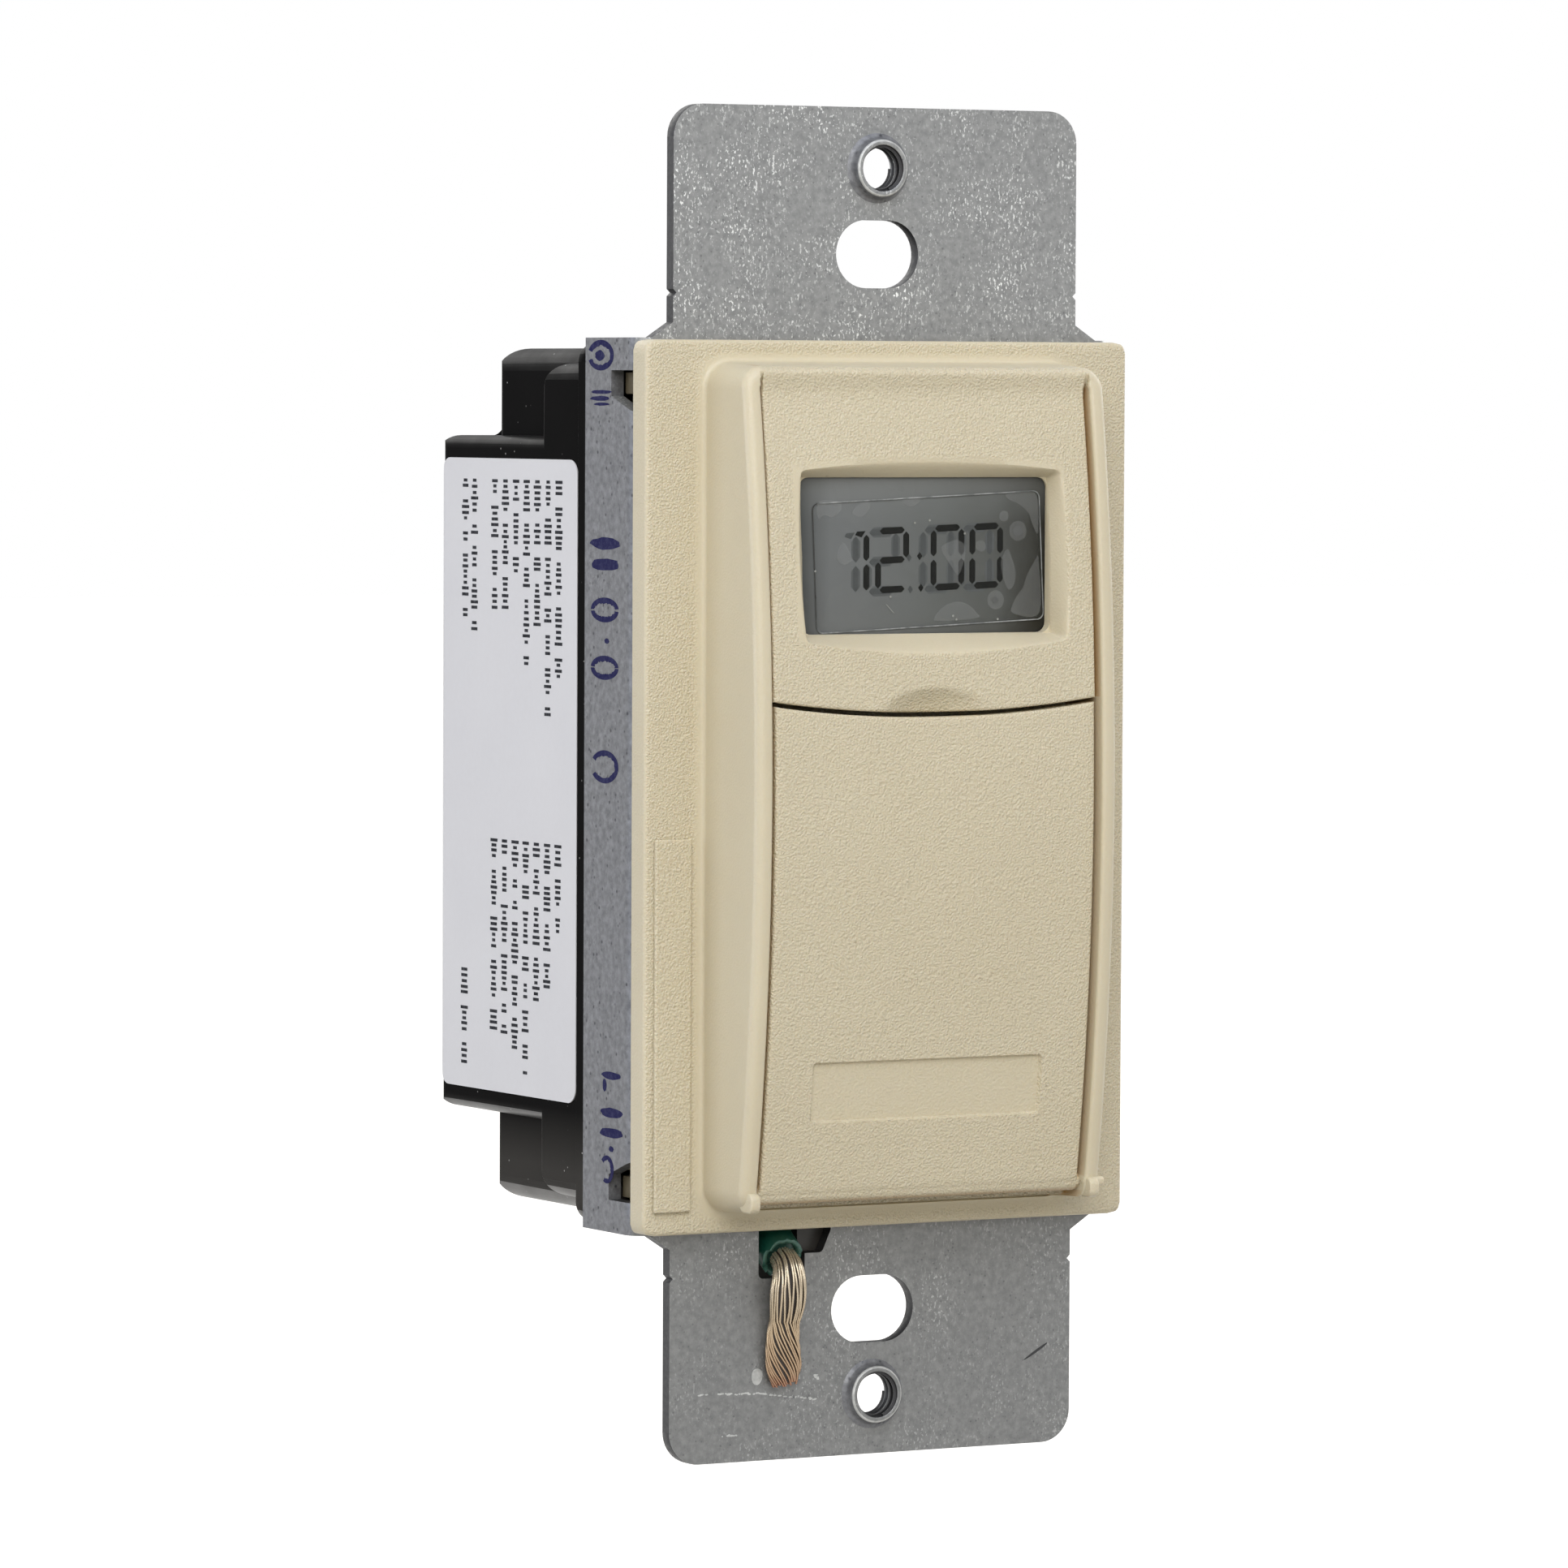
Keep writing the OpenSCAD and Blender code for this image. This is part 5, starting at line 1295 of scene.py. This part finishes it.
def make_lead():
    """Insulated lead with a ragged cut end."""
    draw = random.Random(7)
    route = smooth_route(LEAD_ROUTE, 48)
    across, normal = route_frames(route)
    sides, last_plain = 32, 40
    turns = np.linspace(0, 2 * math.pi, sides, endpoint=False)
    ragged = [draw.uniform(-0.12, 0.25) for _ in range(sides)]
    ahead = route[-1] - route[-2]
    ahead = ahead / np.linalg.norm(ahead)
    rings = []
    for i, point in enumerate(route):
        late = max(0.0, (i - last_plain) / (len(route) - 1 - last_plain))
        rings.append([point + LEAD_R * (across[i] * math.cos(a) + normal[i] * math.sin(a))
                      + ahead * ragged[s] * late ** 2 for s, a in enumerate(turns)])
    end = np.array(rings[-1])
    middle = end.mean(0)
    outside = len(rings) * sides
    for shrink, depth in ((0.95, 0.05), (0.84, 0.03), (0.74, -0.1), (0.7, -0.5)):
        rings.append(middle + (end - middle) * shrink + ahead * depth)
    lead = mesh_object("ground_lead_cover", *ring_tube(rings))
    rim = lead.data.attributes.new("rim", "FLOAT", "POINT").data
    for i, value in enumerate(rim):
        value.value = 0.85 if i >= outside else 0.25 if i >= outside - sides else 0.0
    place(settle(lead, 50), GREEN, "base", "insulation", "ground_lead")


def make_strands():
    """Bare strands that run straight at first and then twist, over a dark core that is painted shade between them."""
    route = smooth_route(STRAND_ROUTE, 84)
    route[:, 3] *= 0.93
    across, normal = route_frames(route[:, :3])
    start, straight, twisted, last = -37.3, 4.9, -42.0, -47.2

    def oval(i, inset, a):
        """A place on the bundle's outline at a station, moved in from it."""
        point, half_x, half_y = route[i, :3], route[i, 3], route[i, 4]
        return point + across[i] * (half_x - inset) * math.cos(a) + normal[i] * (half_y - inset) * math.sin(a)

    draw = random.Random(11)
    parts = []
    for k in range(WIRE_COUNT):
        phase = 2 * math.pi * k / WIRE_COUNT + draw.uniform(-0.02, 0.02)
        lift, end, sway = draw.uniform(-0.05, 0.05), draw.uniform(-0.2, 0.15), draw.uniform(0, 6)
        rings = []
        for i, z in enumerate(route[:, 2]):
            if z < last + end:
                break
            turn = 0.3 * min(start - z, straight) / straight + 0.4 * max(twisted - z, 0)
            centre = oval(i, WIRE_R - lift, phase - (turn + 0.05 * math.sin(1.3 * z + sway)))
            rings.append([centre + WIRE_R * (across[i] * math.cos(b) + normal[i] * math.sin(b))
                          for b in np.linspace(0, 2 * math.pi, 8, endpoint=False)])
        parts.append(ring_tube(rings))
    turns = np.linspace(0, 2 * math.pi, 24, endpoint=False)
    shade_core = [[oval(i, 1.6 * WIRE_R, b) for b in turns] for i in range(len(route) - 2)]
    strands = settle(joined("ground_strand_bundle", parts), 60)
    place(strands, STRANDS, "base", "strands", "ground_strands")
    place(settle(joined("ground_strand_shade_core", [ring_tube(shade_core)])), STRAND_SHADE, "base", "strands")


def dress_inside():
    """Gives every solid that stays a worked finish of its slot."""
    tones = {
        "keys": ((0.03, 0.03, 0.034, 1), 0.5, 0),
        "elastomer": ((0.5, 0.22, 0.26, 1), 0.7, 0), "logic_board": ((0.02, 0.14, 0.06, 1), 0.35, 0),
        "chip": ((0.02, 0.02, 0.02, 1), 0.6, 0), "tin": ((0.42, 0.42, 0.41, 1), 0.32, 1),
        "brass": ((0.7, 0.5, 0.2, 1), 0.35, 1), "power_board": ((0.3, 0.17, 0.06, 1), 0.4, 0),
        "barrier": ((0.6, 0.57, 0.46, 1), 0.6, 0), "capacitor_box": ((0.5, 0.34, 0.05, 1), 0.35, 0),
        "capacitor_can": ((0.02, 0.025, 0.08, 1), 0.3, 0), "varistor": ((0.03, 0.1, 0.35, 1), 0.35, 0),
        "relay_base": ((0.02, 0.02, 0.025, 1), 0.55, 0), "relay_cover": ((0.02, 0.06, 0.2, 1), 0.3, 0),
        "coil": ((0.5, 0.16, 0.06, 1), 0.35, 0.4), "iron": ((0.5, 0.5, 0.49, 1), 0.4, 1),
    }
    made = {slot: inner_finish("inner_" + slot, *look) for slot, look in tones.items()}
    for part in frame["record"]["subparts"]:
        finish = made.get(part["material_slot"])
        if finish:
            data = NODES[part["node"]].data
            data.materials.clear()
            data.materials.append(finish)


# Camera, floor and light

def set_camera():
    turn, rise, roll = (math.radians(v) for v in (VIEW_TURN, VIEW_RISE, VIEW_ROLL))
    back = Vector((math.sin(turn) * math.cos(rise), -math.cos(turn) * math.cos(rise), math.sin(rise)))
    right = Vector((math.cos(turn), math.sin(turn), 0))
    up = back.cross(right)
    across = right * math.cos(roll) + up * math.sin(roll)
    upright = up * math.cos(roll) - right * math.sin(roll)
    eye = Vector((0, SHEET_FRONT, 0)) + right * VIEW_RIGHT + up * VIEW_UP + back * VIEW_DISTANCE
    camera = bpy.data.objects.new("camera", bpy.data.cameras.new("camera"))
    camera.data.sensor_width = SENSOR
    camera.data.lens = SENSOR * LENS_PIXELS / IMAGE_PIXELS
    camera.data.clip_start, camera.data.clip_end = 0.01, 20
    SCENE.collection.objects.link(camera)
    camera.matrix_world = Matrix.Translation(eye * MM) @ Matrix((across, upright, back)).transposed().to_4x4()
    SCENE.camera = camera


def seen_directly(tree):
    """One for camera, glossy and transmission rays, else nought."""
    path = tree.nodes.new("ShaderNodeLightPath")
    first = tree.nodes.new("ShaderNodeMath")
    second = tree.nodes.new("ShaderNodeMath")
    first.operation = second.operation = "MAXIMUM"
    wired(tree, (path.outputs["Is Camera Ray"], first.inputs[0]), (path.outputs["Is Glossy Ray"], first.inputs[1]),
          (first.outputs[0], second.inputs[0]), (path.outputs["Is Transmission Ray"], second.inputs[1]))
    return second.outputs[0]


def set_world():
    """A dim warm surround that looks white where it is seen."""
    world = bpy.data.worlds.new("studio")
    SCENE.world = world
    world.use_nodes = True
    tree = world.node_tree
    plain = tree.nodes["Background"]
    plain.inputs["Color"].default_value = (1.0, 0.96, 0.88, 1)
    plain.inputs["Strength"].default_value = 0.26
    shown = tree.nodes.new("ShaderNodeBackground")
    shown.inputs["Color"].default_value = (1, 1, 1, 1)
    blend = tree.nodes.new("ShaderNodeMixShader")
    wired(tree, (seen_directly(tree), blend.inputs[0]), (plain.outputs[0], blend.inputs[1]),
          (shown.outputs[0], blend.inputs[2]), (blend.outputs[0], tree.nodes["World Output"].inputs["Surface"]))


def set_floor():
    """A plain pale floor that keeps the object's shadow."""
    corners = [(sx * FLOOR_HALF, sy * FLOOR_HALF, FLOOR_Z) for sx, sy in ((-1, -1), (1, -1), (1, 1), (-1, 1))]
    floor = mesh_object("floor", corners, [(0, 1, 2, 3)])
    pale = bpy.data.materials.new("pale_floor")
    pale.use_nodes = True
    tree = pale.node_tree
    tree.nodes.clear()
    diffuse = tree.nodes.new("ShaderNodeBsdfDiffuse")
    diffuse.inputs["Color"].default_value = (0.46, 0.44, 0.4, 1)
    glow = tree.nodes.new("ShaderNodeEmission")
    strength = tree.nodes.new("ShaderNodeMath")
    strength.operation = "MULTIPLY"
    strength.inputs[1].default_value = 0.92
    both = tree.nodes.new("ShaderNodeAddShader")
    out = tree.nodes.new("ShaderNodeOutputMaterial")
    wired(tree, (seen_directly(tree), strength.inputs[0]), (strength.outputs[0], glow.inputs["Strength"]),
          (diffuse.outputs[0], both.inputs[0]), (glow.outputs[0], both.inputs[1]),
          (both.outputs[0], out.inputs["Surface"]))
    floor.data.materials.append(pale)


# Place and width in millimetres, power in watts and tint of each lamp.
COOL, PLAIN_WHITE = (0.88, 0.96, 1.15), (1.0, 0.985, 0.955)
LAMPS = (("front_left", (-330, -565, 340), 480, 3.35, PLAIN_WHITE),
         ("front_right", (430, -620, 220), 480, 0.4, PLAIN_WHITE),
         ("overhead", (-60, -320, 500), 540, 1.6, COOL), ("left_fill", (-700, 150, 120), 420, 1.6, COOL),
         ("right_back", (660, 150, 240), 420, 1.6, PLAIN_WHITE), ("behind", (-60, 680, 300), 480, 1.2, PLAIN_WHITE))


def set_lamps():
    """Soft square lamps that face the middle of the object."""
    aim = Vector((0, 5, 0)) * MM
    for name, spot, size, power, tint in LAMPS:
        data = bpy.data.lights.new(name, "AREA")
        data.shape = "SQUARE"
        data.size = size * MM
        data.energy = power
        data.color = tint
        lamp = bpy.data.objects.new(name, data)
        SCENE.collection.objects.link(lamp)
        lamp.location = Vector(spot) * MM
        lamp.rotation_euler = (aim - lamp.location).to_track_quat("-Z", "Y").to_euler()


make_bezel()
make_door()
make_drawer()
make_buttons()
make_strap()
make_collars()
make_threads()
make_scratches()
make_stamps()
make_housing()
make_label()
make_display()
make_lead()
make_strands()
dress_inside()
set_camera()
SCENE.view_settings.view_transform = "Standard"
set_world()
set_floor()
set_lamps()
